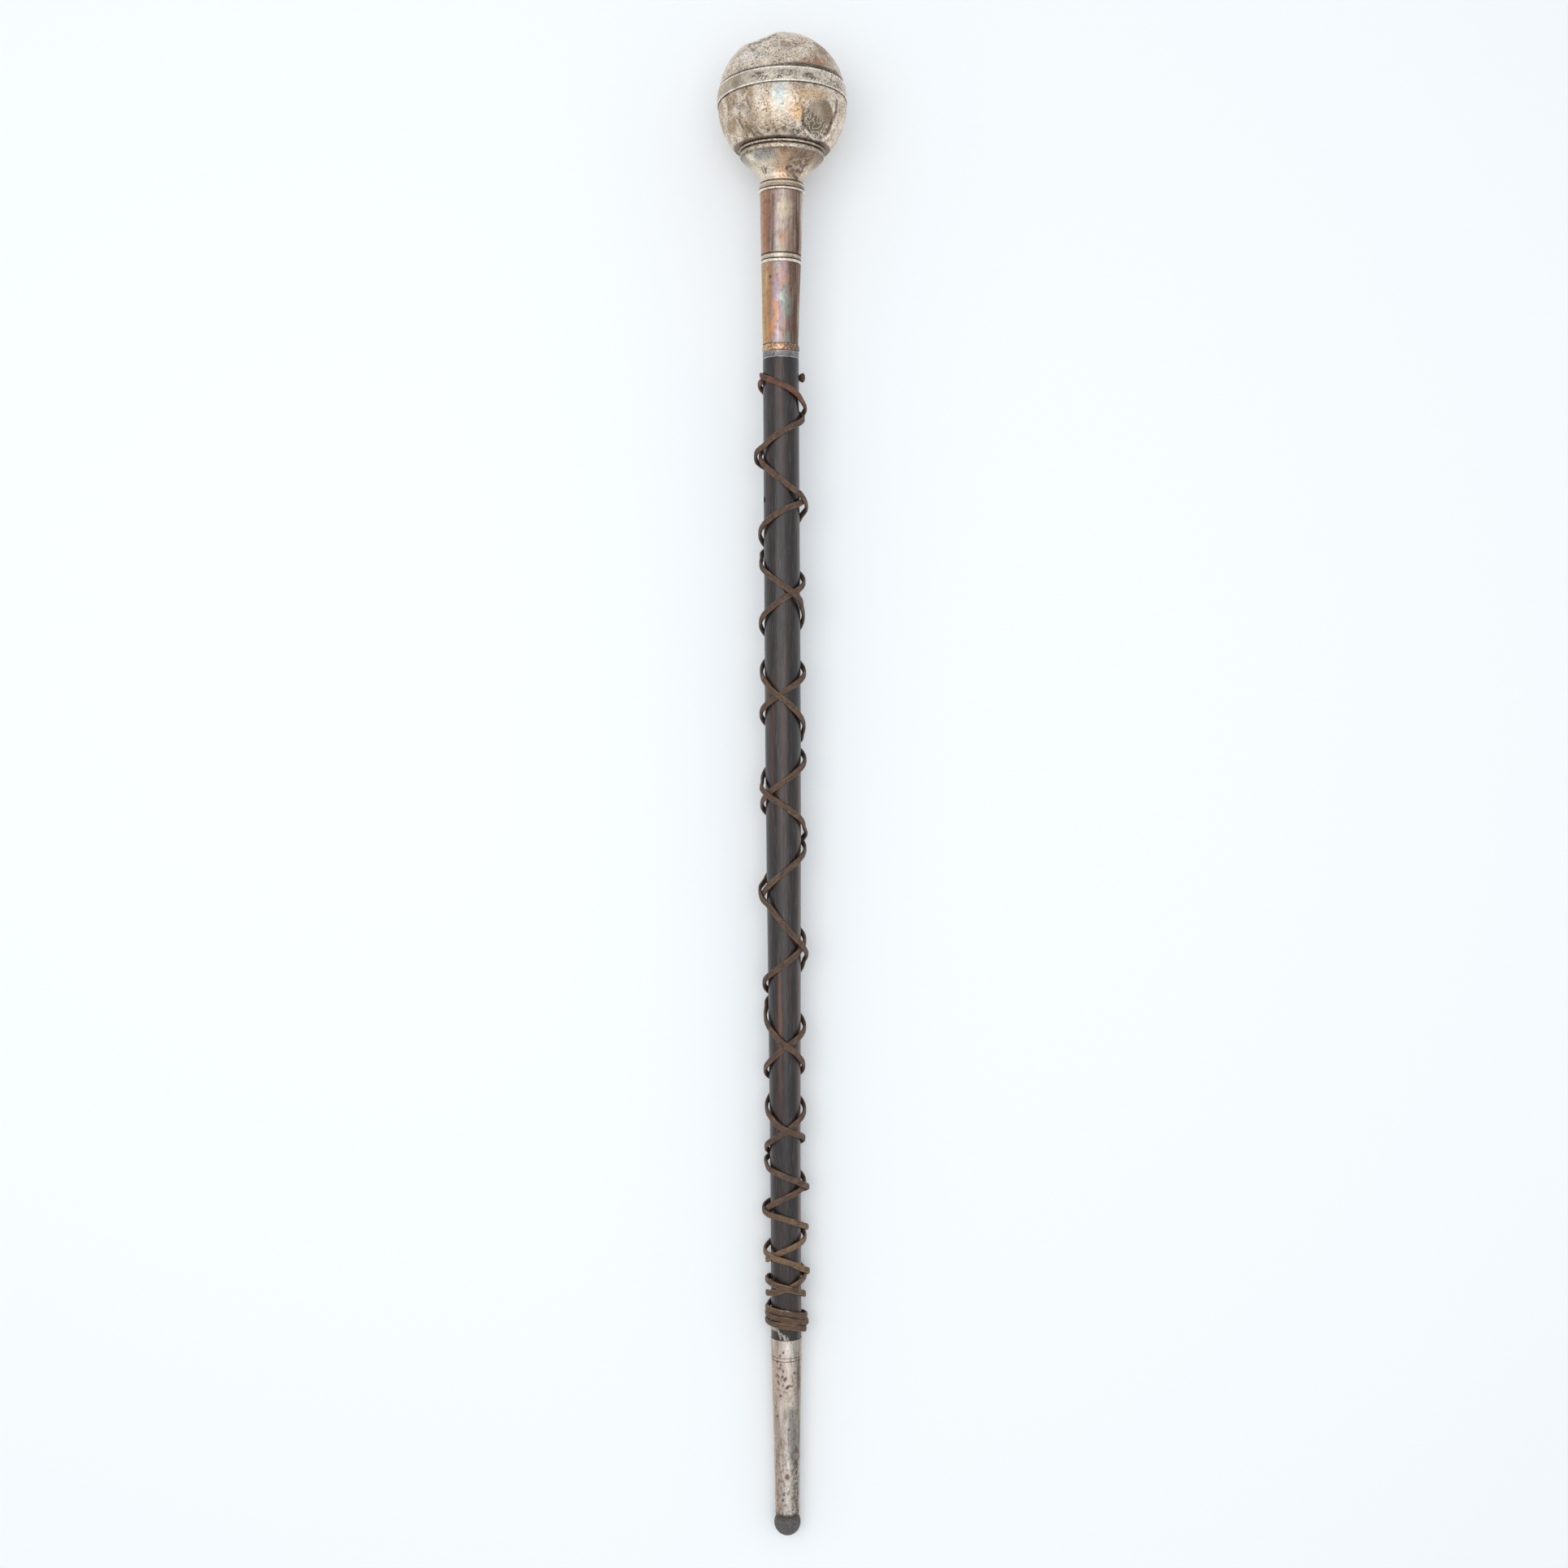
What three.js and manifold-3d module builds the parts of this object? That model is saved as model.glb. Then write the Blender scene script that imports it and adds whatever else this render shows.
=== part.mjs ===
// A band baton: a drum major's ebony staff with a silver globe, sleeve and ferrule,
// laced with two crossing leather thongs. It lies down, on its belt and its tip ball.
import * as THREE from 'three';
import { mergeVertices } from 'three/addons/utils/BufferGeometryUtils.js';
import Module from 'manifold-3d';

const wasm = await Module();
wasm.setup();

// Driving dimensions in millimetres. The staff runs along Y, with its tip end at 0.
const fitGap = 0.3;

// Tip ball and ferrule
const tipRadius = 10.6;
const tipHeight = 19.4;
const ferruleLength = 144;
const ferruleTopRadius = 12.55;
const ferruleFootRadius = 9.62;
const ferruleMouthRadius = 8.3;
const ferruleWall = 0.9;
const ferruleRounding = 2.6;
const ferruleTaperPower = 1.3;
const ferruleLineDepth = 0.4;
const ferruleLineWidth = 0.9;
const ferruleUpperLine = 14.3;
const ferruleLineSpacing = 2.7;

// Shaft
const shaftLength = 778;
const shaftTipRadius = 12.15;
const shaftHeadRadius = 14.2;
const taperStart = 88;
const taperLength = 430;
const tenonWall = 1.0;
const tenonDepth = 28;

// Drilled holes, at a turn from the front, with places as shares of the bare shaft
const drillTurn = THREE.MathUtils.degToRad(-75);
const thongHoleShare = 0.9833;
const spareHoleRadius = 2.5;
const spareHoleShare = 0.8587;

// Socket band, rings and sleeves
const socketBandLength = 5.4;
const socketBandRadius = 14.15;
const lowerRingLength = 5.3;
const lowerRingRadius = 14.65;
const lowerSleeveLength = 62.3;
const lowerSleeveFootRadius = 14.0;
const lowerSleeveTopRadius = 15.55;
const middleRingLength = 7;
const middleRingRadius = 16.15;
const middleRingLipHeight = 2.4;
const upperSleeveLength = 47.6;
const upperSleeveFootRadius = 15.8;
const upperSleeveTopRadius = 16.9;
const neckRingLength = 7.6;
const neckRingRadius = 19;
const neckRingLipHeight = 1.9;
const neckRingBandRadius = 18.3;
const ringGroove = 0.4;
const ringGrooveDepth = 0.5;

// Neck and collar
const neckRadius = 16.9;
const neckLength = 2.9;
const flareLength = 16.4;
const flarePower = 1.6;
const rimRadius = 32.8;
const rimHeight = 4;
const rimBevel = 1.4;
const rimEdge = 0.8;
const collarGroove = 0.5;
const collarGrooveDepth = 0.9;
const footRingRadius = 33.8;
const footRingHeight = 2.3;

// Globe
const globeRadius = 50.2;
const globeFootRadius = 37.2;
const domeStep = 0.7;
const domeHeight = 48.1;
const domeRise = 6.9;
const beltStart = 0.9;
const beltWidth = 11.7;
const beltStand = 1.2;
const beltCrown = 0.2;
const lipWidth = 1.3;
const lipStand = 0.35;

// The head leans to the right from the tenon up, and the globe is askew on its collar.
const headLean = THREE.MathUtils.degToRad(0.75);
const globeLean = THREE.MathUtils.degToRad(2.2);
const globeNod = THREE.MathUtils.degToRad(2.9);

// Dents, by their turn from the front, their height on the globe, radius and depth
const bowlDent = { turn: 40, height: -28, radius: 17.5, depth: 4.2 };
const domeDent = { turn: -42, height: 60, radius: 16, depth: 2.6 };

// Flat spots that the staff rests on
const beltFlatDepth = 0.7;
const tipFlatDepth = 0.3;

// Leather thong
const thongWidth = 4.8;
const thongThickness = 2.7;
const thongSlack = 1.0;
const bindingSlack = 2.0;
const thongBends = [30, 60].map(THREE.MathUtils.degToRad);
const crossingGap = 0.9;
const knotWidth = 6.8;
const knotThickness = 5.6;
const knotLength = 4.9;

// Where each turn of a thong passes, in thousandths of the bare shaft above the ferrule.
// This strand goes left, front, right, back as it descends, and ends in the binding.
const rightHandTurns = [
  [984, 973, 955, 929],
  [903, 877, 851, 823],
  [795, 772, 742, 713],
  [685, 657, 629, 601],
  [574, 549, 526, 494],
  [463, 428, 391, 362],
  [333, 306, 281, 260],
  [239, 219, 206, 192],
  [179, 170, 155, 144],
  [133, 126, 114, 103],
  [92, 83, 68, 57],
  [61, 56, 44, 38],
  [32, 29, 22, 23],
  [24.5, 22.3, 15.4, 16.3],
  [17.5, 15.6, 8.8, 9.6],
];
// This strand goes left, back, right, front as it descends.
const leftHandTurns = [
  [976.5, 958, 941, 925],
  [903, 881, 860, 846],
  [825, 800, 776, 757],
  [734, 709, 684, 663],
  [642, 618, 595, 573],
  [550, 527, 504, 481],
  [455, 432, 410, 388],
  [366, 343, 321, 302],
  [277, 256, 236, 216],
  [197, 178, 160, 148],
  [132, 118, 104, 94],
  [80, 77, 65, 54],
  [46],
];

// Shares of the bare shaft: where the close binding starts, where its last turns lie loose,
// and the one crossing, on the left, where the left-hand strand lies on top.
const bindingShare = 0.04;
const looseEndShare = 0.02;
const leftHandCrossingShare = 0.903;
const leftHandReachShare = 0.025;

// Facets
const globeSegments = 40;
const turnedSegments = 28;
const ballSegments = 24;
const drillSegments = 12;
const roundSteps = 10;
const thongStepsPerTurn = 14;

// Places along the staff, worked out from the lengths above
const ferruleFoot = tipRadius + Math.sqrt(tipRadius ** 2 - ferruleMouthRadius ** 2) + fitGap;
const ferruleTop = ferruleFoot + ferruleLength;
const shaftFoot = ferruleTop + fitGap;
const shaftTop = shaftFoot + shaftLength;
const bandFoot = shaftTop + fitGap;
const lowerRingFoot = bandFoot + socketBandLength + fitGap;
const lowerSleeveFoot = lowerRingFoot + lowerRingLength + fitGap;
const middleRingFoot = lowerSleeveFoot + lowerSleeveLength + fitGap;
const upperSleeveFoot = middleRingFoot + middleRingLength + fitGap;
const neckRingFoot = upperSleeveFoot + upperSleeveLength + fitGap;
const neckFoot = neckRingFoot + neckRingLength + fitGap;
const rimFoot = neckFoot + neckLength + flareLength;
const footRingFoot = rimFoot + rimHeight + collarGroove;
const collarTop = footRingFoot + footRingHeight;
const bowlFoot = collarTop + fitGap;
const bowlCentre = bowlFoot + Math.sqrt(globeRadius ** 2 - globeFootRadius ** 2);
const domeCentre = bowlCentre + domeRise;
const domeRadius = globeRadius - domeStep;
const beltFoot = bowlCentre + beltStart;
const beltTop = beltFoot + beltWidth;

const silver = new THREE.MeshStandardMaterial({ color: 0xaa9b8c, roughness: 0.38, metalness: 0.9 });
const sleeveSilver = new THREE.MeshStandardMaterial({ color: 0x9a8068, roughness: 0.35, metalness: 0.9 });
const ferruleSilver = new THREE.MeshStandardMaterial({ color: 0xafa091, roughness: 0.42, metalness: 0.85 });
const ebony = new THREE.MeshStandardMaterial({ color: 0x4b484b, roughness: 0.45, metalness: 0 });
const leather = new THREE.MeshStandardMaterial({ color: 0x735f50, roughness: 0.7, metalness: 0 });
const darkIron = new THREE.MeshStandardMaterial({ color: 0x585655, roughness: 0.65, metalness: 0.5 });

// A turned piece from an outline of [radius, place] points, revolved about the staff.
function turned(name, outline, segments, material) {
  const points = outline.map(([radius, place]) => new THREE.Vector2(radius, place));
  const mesh = new THREE.Mesh(new THREE.LatheGeometry(points, segments), material);
  mesh.name = name;
  return mesh;
}

// Evenly spaced values from 0 to 1, both ends included.
function shares(count) {
  return Array.from({ length: count + 1 }, (unused, index) => index / count);
}

// The outline of a rounded bead between two places.
function bead(baseRadius, topRadius, from, to, steps) {
  return shares(steps).map((share) => [
    baseRadius + (topRadius - baseRadius) * Math.sin(Math.PI * share),
    from + (to - from) * share,
  ]);
}

function toSolid(geometry) {
  const bare = geometry.clone();
  bare.deleteAttribute('normal');
  bare.deleteAttribute('uv');
  const merged = mergeVertices(bare, 1e-4);
  return new wasm.Manifold(new wasm.Mesh({
    numProp: 3,
    vertProperties: new Float32Array(merged.attributes.position.array),
    triVerts: new Uint32Array(merged.index.array),
  }));
}

function toGeometry(solid) {
  const mesh = solid.getMesh();
  const geometry = new THREE.BufferGeometry();
  geometry.setAttribute('position', new THREE.BufferAttribute(mesh.vertProperties, 3));
  geometry.setIndex(new THREE.BufferAttribute(mesh.triVerts, 1));
  geometry.computeVertexNormals();
  return geometry;
}

function cutFrom(mesh, cutters) {
  let solid = toSolid(mesh.geometry);
  for (const cutter of cutters) {
    solid = solid.subtract(toSolid(cutter));
  }
  mesh.geometry = toGeometry(solid);
}

// Tip ball
function makeTipBall() {
  const topTurn = Math.acos((tipHeight - tipRadius) / tipRadius);
  const round = shares(roundSteps).slice(1).map((share) => {
    const turn = Math.PI + (topTurn - Math.PI) * share;
    return [tipRadius * Math.sin(turn), tipRadius + tipRadius * Math.cos(turn)];
  });
  return turned('tip_ball', [[0, 0], ...round, [0, tipHeight]], ballSegments, darkIron);
}

// Ferrule
function ferruleRadiusAt(place) {
  const share = (place - ferruleFoot) / ferruleLength;
  return ferruleFootRadius + (ferruleTopRadius - ferruleFootRadius) * share ** ferruleTaperPower;
}

const boreTopRadius = ferruleTopRadius - ferruleWall;
const boreFootRadius = ferruleFootRadius - ferruleWall;

function boreRadiusAt(place) {
  const share = (place - ferruleFoot) / ferruleLength;
  return boreFootRadius + (boreTopRadius - boreFootRadius) * share;
}

function ferruleLine(place) {
  return [
    [ferruleRadiusAt(place - ferruleLineWidth / 2), place - ferruleLineWidth / 2],
    [ferruleRadiusAt(place) - ferruleLineDepth, place],
    [ferruleRadiusAt(place + ferruleLineWidth / 2), place + ferruleLineWidth / 2],
  ];
}

function makeFerrule() {
  const upperLine = ferruleTop - ferruleUpperLine;
  const lowerLine = upperLine - ferruleLineSpacing;
  const rounded = ferruleFoot + ferruleRounding;
  const taperEnd = lowerLine - 2 * ferruleLineWidth;
  const taper = shares(2).slice(1).map((share) => rounded + (taperEnd - rounded) * share);
  const mouthEdge = (ferruleMouthRadius + ferruleFootRadius) / 2;
  const rounding = shares(3).map((share) => [
    mouthEdge + (ferruleRadiusAt(rounded) - mouthEdge) * Math.sin(Math.PI / 2 * share),
    rounded - ferruleRounding * Math.cos(Math.PI / 2 * share),
  ]);
  const outline = [
    [ferruleMouthRadius, ferruleFoot],
    ...rounding,
    ...taper.map((place) => [ferruleRadiusAt(place), place]),
    ...ferruleLine(lowerLine),
    ...ferruleLine(upperLine),
    [ferruleTopRadius, ferruleTop],
    [boreTopRadius, ferruleTop],
    [boreRadiusAt(rounded), rounded],
    [ferruleMouthRadius, ferruleFoot],
  ];
  return turned('ferrule', outline, turnedSegments, ferruleSilver);
}

// Shaft
function shaftRadiusAt(place) {
  const share = THREE.MathUtils.smoothstep(place, shaftFoot + taperStart, shaftFoot + taperStart + taperLength);
  return shaftTipRadius + (shaftHeadRadius - shaftTipRadius) * share;
}

function placeOnShaft(share) {
  return shaftFoot + shaftLength * share;
}

const tenonRadius = lowerSleeveFootRadius - tenonWall - fitGap;
const tenonTop = lowerSleeveFoot + tenonDepth;
const thongHoleRadius = Math.hypot(thongWidth, thongThickness) / 2 + fitGap;

function drill(radius, share) {
  const cutter = new THREE.CylinderGeometry(radius, radius, 4 * shaftHeadRadius, drillSegments);
  cutter.rotateX(Math.PI / 2);
  cutter.rotateY(drillTurn);
  cutter.translate(0, placeOnShaft(share), 0);
  return cutter;
}

function makeShaft() {
  const tailFoot = tipHeight + fitGap;
  const tailEnd = Math.max(tailFoot, ferruleFoot + ferruleRounding);
  const taper = shares(4).map((share) => shaftFoot + taperStart + taperLength * share);
  const outline = [
    [0, tailFoot],
    [boreRadiusAt(tailFoot) - 2 * fitGap, tailFoot],
    [boreRadiusAt(tailEnd) - fitGap, tailEnd],
    [boreTopRadius - fitGap, shaftFoot],
    [shaftTipRadius, shaftFoot],
    ...taper.map((place) => [shaftRadiusAt(place), place]),
    [shaftHeadRadius, shaftTop],
    [tenonRadius, shaftTop],
    [tenonRadius, tenonTop],
    [0, tenonTop],
  ];
  const shaft = turned('shaft', outline, turnedSegments, ebony);
  cutFrom(shaft, [drill(thongHoleRadius, thongHoleShare), drill(spareHoleRadius, spareHoleShare)]);
  return shaft;
}

// Socket band, rings and sleeves
const socketRadius = tenonRadius + fitGap;

function makeSocketBand() {
  const outline = [
    [socketRadius, bandFoot],
    [socketBandRadius, bandFoot],
    [socketBandRadius, bandFoot + socketBandLength],
    [socketRadius, bandFoot + socketBandLength],
    [socketRadius, bandFoot],
  ];
  return turned('socket_band', outline, turnedSegments, silver);
}

function makeLowerRing() {
  const outline = [
    [socketRadius, lowerRingFoot],
    ...bead(lowerSleeveFootRadius, lowerRingRadius, lowerRingFoot, lowerRingFoot + lowerRingLength, 5),
    [socketRadius, lowerRingFoot + lowerRingLength],
    [socketRadius, lowerRingFoot],
  ];
  return turned('lower_ring', outline, turnedSegments, sleeveSilver);
}

function makeLowerSleeve() {
  const top = lowerSleeveFoot + lowerSleeveLength;
  const socketTop = tenonTop + fitGap;
  const outline = [
    [socketRadius, lowerSleeveFoot],
    [lowerSleeveFootRadius, lowerSleeveFoot],
    [lowerSleeveTopRadius, top],
    [0, top],
    [0, socketTop],
    [socketRadius, socketTop],
    [socketRadius, lowerSleeveFoot],
  ];
  return turned('lower_sleeve', outline, turnedSegments, sleeveSilver);
}

function makeMiddleRing() {
  const lipTop = middleRingFoot + middleRingLipHeight;
  const outline = [
    [0, middleRingFoot],
    ...bead(lowerSleeveTopRadius, middleRingRadius, middleRingFoot, lipTop, 4),
    [upperSleeveFootRadius - ringGrooveDepth, lipTop + ringGroove],
    [upperSleeveFootRadius, middleRingFoot + middleRingLength],
    [0, middleRingFoot + middleRingLength],
  ];
  return turned('middle_ring', outline, turnedSegments, sleeveSilver);
}

function makeUpperSleeve() {
  const outline = [
    [0, upperSleeveFoot],
    [upperSleeveFootRadius, upperSleeveFoot],
    [upperSleeveTopRadius, upperSleeveFoot + upperSleeveLength],
    [0, upperSleeveFoot + upperSleeveLength],
  ];
  return turned('upper_sleeve', outline, turnedSegments, sleeveSilver);
}

function makeNeckRing() {
  const lipTop = neckRingFoot + neckRingLipHeight;
  const top = neckRingFoot + neckRingLength;
  const outline = [
    [0, neckRingFoot],
    ...bead(neckRingBandRadius - ringGrooveDepth, neckRingRadius, neckRingFoot, lipTop, 4),
    [neckRingBandRadius, lipTop + ringGroove],
    [neckRadius, top],
    [0, top],
  ];
  return turned('neck_ring', outline, turnedSegments, silver);
}

// Neck and collar, one piece under the globe
function makeCollar() {
  const flareFoot = neckFoot + neckLength;
  const flareEdge = rimRadius - collarGrooveDepth;
  const flare = shares(7).map((share) => {
    const opening = (share ** flarePower + THREE.MathUtils.smoothstep(share, 0, 1)) / 2;
    return [neckRadius + (flareEdge - neckRadius) * opening, flareFoot + flareLength * share];
  });
  const outline = [
    [0, neckFoot],
    [neckRadius, neckFoot],
    ...flare,
    [rimRadius, rimFoot + rimBevel],
    [rimRadius, rimFoot + rimHeight - rimEdge],
    [flareEdge, rimFoot + rimHeight],
    [flareEdge, footRingFoot],
    [footRingRadius, footRingFoot + collarGroove / 2],
    [footRingRadius, collarTop],
    [0, collarTop],
  ];
  return turned('neck_collar', outline, turnedSegments, silver);
}

// Globe
function dent(geometry, centre, spot) {
  const turn = THREE.MathUtils.degToRad(spot.turn);
  const height = THREE.MathUtils.degToRad(spot.height);
  const towards = new THREE.Vector3(
    Math.cos(height) * Math.sin(turn), Math.sin(height), Math.cos(height) * Math.cos(turn));
  const position = geometry.attributes.position;
  const point = new THREE.Vector3();
  for (let index = 0; index < position.count; index += 1) {
    point.fromBufferAttribute(position, index);
    point.y -= centre;
    const distance = towards.angleTo(point) * globeRadius;
    const share = THREE.MathUtils.smoothstep(1 - distance / spot.radius, 0, 1);
    if (point.length() > globeRadius / 2) {
      point.addScaledVector(towards, -spot.depth * share);
    }
    position.setXYZ(index, point.x, point.y + centre, point.z);
  }
}

// The bowl is made as a half ball, and is cut flat where it sits on the collar.
function makeBowl() {
  const round = shares(2 * roundSteps).slice(1).map((share) => {
    const turn = Math.PI / 2 * share;
    return [globeRadius * Math.sin(turn), bowlCentre - globeRadius * Math.cos(turn)];
  });
  const outline = [
    [0, bowlCentre - globeRadius],
    ...round,
    [globeRadius, beltFoot],
    [domeRadius, domeCentre - fitGap],
    [0, domeCentre - fitGap],
  ];
  const bowl = turned('globe_bowl', outline, globeSegments, silver);
  dent(bowl.geometry, bowlCentre, bowlDent);
  return bowl;
}

function domeRadiusAt(place) {
  return domeRadius * Math.sqrt(1 - ((place - domeCentre) / domeHeight) ** 2);
}

function makeDome() {
  const round = shares(roundSteps).slice(0, -1).map((share) => {
    const turn = Math.PI / 2 * (1 - share);
    return [domeRadius * Math.sin(turn), domeCentre + domeHeight * Math.cos(turn)];
  });
  const outline = [[0, domeCentre], ...round, [0, domeCentre + domeHeight]];
  const dome = turned('globe_dome', outline, globeSegments, silver);
  dent(dome.geometry, domeCentre, domeDent);
  return dome;
}

function makeBelt() {
  const innerFoot = globeRadius + fitGap;
  const innerTop = domeRadiusAt(beltTop) + fitGap;
  const outerFoot = globeRadius + beltStand;
  const outerTop = innerTop + beltStand - fitGap;
  const faceFoot = outerFoot - lipStand;
  const faceTop = outerTop - lipStand;
  const outline = [
    [innerFoot, beltFoot],
    ...bead(faceFoot, outerFoot, beltFoot, beltFoot + lipWidth, 3),
    [(faceFoot + faceTop) / 2 + beltCrown, (beltFoot + beltTop) / 2],
    ...bead(faceTop, outerTop, beltTop - lipWidth, beltTop, 3),
    [innerTop, beltTop],
    [domeRadius + fitGap, domeCentre],
    [innerFoot, beltFoot],
  ];
  return turned('globe_belt', outline, globeSegments, silver);
}

// Thong: a flat strip swept through stations that give its middle, its face and its size
function strip(name, stations) {
  const corners = [];
  const last = stations.length - 1;
  stations.forEach((station, index) => {
    const before = stations[Math.max(index - 1, 0)].middle;
    const after = stations[Math.min(index + 1, last)].middle;
    const along = after.clone().sub(before).normalize();
    const across = along.clone().cross(station.face).normalize();
    const outward = across.clone().cross(along);
    for (const [side, rise] of [[1, 1], [-1, 1], [-1, -1], [1, -1]]) {
      corners.push(station.middle.clone()
        .addScaledVector(across, side * station.width / 2)
        .addScaledVector(outward, rise * station.thickness / 2));
    }
  });
  const triangles = [0, 1, 2, 0, 2, 3];
  for (let index = 0; index < last; index += 1) {
    for (let corner = 0; corner < 4; corner += 1) {
      const a = index * 4 + corner;
      const b = index * 4 + (corner + 1) % 4;
      triangles.push(a, a + 4, b, b, a + 4, b + 4);
    }
  }
  const end = last * 4;
  triangles.push(end, end + 2, end + 1, end, end + 3, end + 2);
  const geometry = new THREE.BufferGeometry().setFromPoints(corners);
  geometry.setIndex(triangles);
  geometry.computeVertexNormals();
  const mesh = new THREE.Mesh(geometry, leather);
  mesh.name = name;
  return mesh;
}

// The route of a strand: its share of the shaft at any number of quarter turns from its first.
function routeThrough(turns) {
  const curve = new THREE.SplineCurve(
    turns.flat().map((thousandths, index) => new THREE.Vector2(index, thousandths / 1000)));
  const quarters = curve.points.length - 1;
  return { quarters, shareAt: (quarter) => curve.getPoint(quarter / quarters).y };
}

// A strip's flats between stations come this much nearer to the staff than its corners.
const thongChord = Math.cos(Math.PI / thongStepsPerTurn);
const quarterStep = 4 / thongStepsPerTurn;

const rightHand = routeThrough(rightHandTurns);
const leftHand = routeThrough(leftHandTurns);

// How far one strand passes from the other at the same side of the shaft.
function distanceToOther(quarter, share, other) {
  const quartersBack = 4 * Math.ceil(quarter / 4) - quarter;
  let nearest = shaftLength;
  for (let otherQuarter = quartersBack; otherQuarter <= other.quarters; otherQuarter += 4) {
    nearest = Math.min(nearest, Math.abs(share - other.shareAt(otherQuarter)) * shaftLength);
  }
  return nearest;
}

// The lift of a strand where it passes over the other, given how steeply it winds. It starts
// where the two strands would touch, and rises over the fall of two steps.
function liftOverOther(distance, steepness) {
  const ramp = 2 * steepness * shaftHeadRadius * 2 * Math.PI / thongStepsPerTurn;
  const touching = thongWidth * Math.hypot(1, steepness) + ramp / 2 + crossingGap;
  const share = THREE.MathUtils.smoothstep(distance, touching, touching + ramp);
  return (1 - share) * (thongThickness + crossingGap) / thongChord;
}

// How far a strand stands off the shaft at its sides: close in the binding but for its last turns.
function slackAt(share) {
  if (share > bindingShare) {
    return thongSlack;
  }
  return bindingSlack * (1 - THREE.MathUtils.smoothstep(share, looseEndShare, bindingShare));
}

// Stations of a strand that winds round the shaft. The direction is 1 or -1.
function windingStations(route, other, direction, firstQuarter, isOnTop) {
  const count = Math.floor((route.quarters - firstQuarter) / quarterStep);
  const stations = [];
  for (let index = 0; index <= count; index += 1) {
    const quarter = firstQuarter + index * quarterStep;
    const share = route.shareAt(quarter);
    const place = placeOnShaft(share);
    const turn = -Math.PI / 2 + direction * quarter * Math.PI / 2;
    const ahead = Math.min(quarter + quarterStep / 2, route.quarters);
    const behind = Math.max(quarter - quarterStep / 2, 0);
    const fall = (route.shareAt(behind) - route.shareAt(ahead)) * shaftLength;
    const steepness = Math.abs(fall) / ((ahead - behind) * Math.PI / 2 * shaftRadiusAt(place));
    const loose = slackAt(share) * Math.sin(turn) ** 2;
    const lift = isOnTop(share) ? liftOverOther(distanceToOther(quarter, share, other), steepness) : 0;
    const inner = (shaftRadiusAt(place) + fitGap) / thongChord + loose + lift;
    const face = new THREE.Vector3(Math.sin(turn), 0, Math.cos(turn));
    const middle = face.clone().multiplyScalar(inner + thongThickness / 2);
    middle.y = place;
    stations.push({ middle, face, width: thongWidth, thickness: thongThickness });
  }
  return stations;
}

function isLeftHandOnTop(share) {
  return Math.abs(share - leftHandCrossingShare) < leftHandReachShare;
}

// The strand's start: a knot on the right, straight through the hole, and a bend on the left.
function knotStations() {
  const out = new THREE.Vector3(Math.sin(drillTurn), 0, Math.cos(drillTurn));
  const side = new THREE.Vector3(out.z, 0, -out.x);
  const knotFoot = -shaftHeadRadius - 2 * fitGap;
  const bendRadius = thongThickness;
  const bendFoot = shaftHeadRadius + fitGap + thongSlack + thongThickness / 2 - bendRadius;
  const strap = { bend: 0, width: thongWidth, thickness: thongThickness };
  const knot = { bend: 0, width: knotWidth, thickness: knotThickness };
  const runs = [
    { reach: knotFoot - knotLength, ...knot },
    { reach: knotFoot, ...knot },
    { reach: knotFoot + fitGap, ...strap },
    { reach: bendFoot, ...strap },
    ...thongBends.map((bend) => ({ reach: bendFoot + bendRadius * Math.sin(bend), ...strap, bend })),
  ];
  return runs.map(({ reach, bend, width, thickness }) => {
    const aside = bendRadius * (1 - Math.cos(bend));
    const middle = out.clone().multiplyScalar(reach).addScaledVector(side, aside);
    middle.y = placeOnShaft(thongHoleShare);
    const face = out.clone().multiplyScalar(Math.sin(bend)).addScaledVector(side, -Math.cos(bend));
    return { middle, face, width, thickness };
  });
}

function makeRightHandStrand() {
  const holeQuarter = (drillTurn + Math.PI / 2) / (Math.PI / 2);
  const firstQuarter = holeQuarter + quarterStep;
  const stations = windingStations(rightHand, leftHand, 1, firstQuarter, (at) => !isLeftHandOnTop(at));
  return strip('thong_right_hand', [...knotStations(), ...stations]);
}

function makeLeftHandStrand() {
  return strip('thong_left_hand', windingStations(leftHand, rightHand, -1, 0, isLeftHandOnTop));
}

// Pieces in a group that turns about a place on the staff's axis
function groupedAbout(place, pieces) {
  const group = new THREE.Group();
  for (const piece of pieces) {
    piece.position.y -= place;
    group.add(piece);
  }
  group.position.y = place;
  return group;
}

const belt = makeBelt();
const bowl = makeBowl();
const globe = groupedAbout(bowlCentre, [bowl, belt, makeDome()]);
globe.rotation.set(-globeNod, 0, globeLean);
const leanPlace = lowerSleeveFoot + tenonDepth / 2;
const head = groupedAbout(
  leanPlace,
  [makeLowerSleeve(), makeMiddleRing(), makeUpperSleeve(), makeNeckRing(), makeCollar(), globe],
);
head.rotation.z = -headLean;

const tipBall = makeTipBall();
const staff = new THREE.Group();
staff.add(
  tipBall,
  makeFerrule(),
  makeShaft(),
  makeRightHandStrand(),
  makeLeftHandStrand(),
  makeSocketBand(),
  makeLowerRing(),
  head,
);

// The staff lies on the belt's flat and the tip's flat, so its axis rises towards the head.
const beltRest = globeRadius + beltStand - beltFlatDepth;
const tipRest = tipRadius - tipFlatDepth;
const restSpan = beltFoot - tipRadius;
const reach = Math.hypot(restSpan, beltRest);
const tilt = Math.atan2(beltRest, restSpan) - Math.asin(tipRest / reach);
staff.rotation.x = tilt;
staff.position.z = tipRest - tipRadius * Math.sin(tilt);

const baton = new THREE.Group();
baton.add(staff);
baton.updateMatrixWorld(true);

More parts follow.
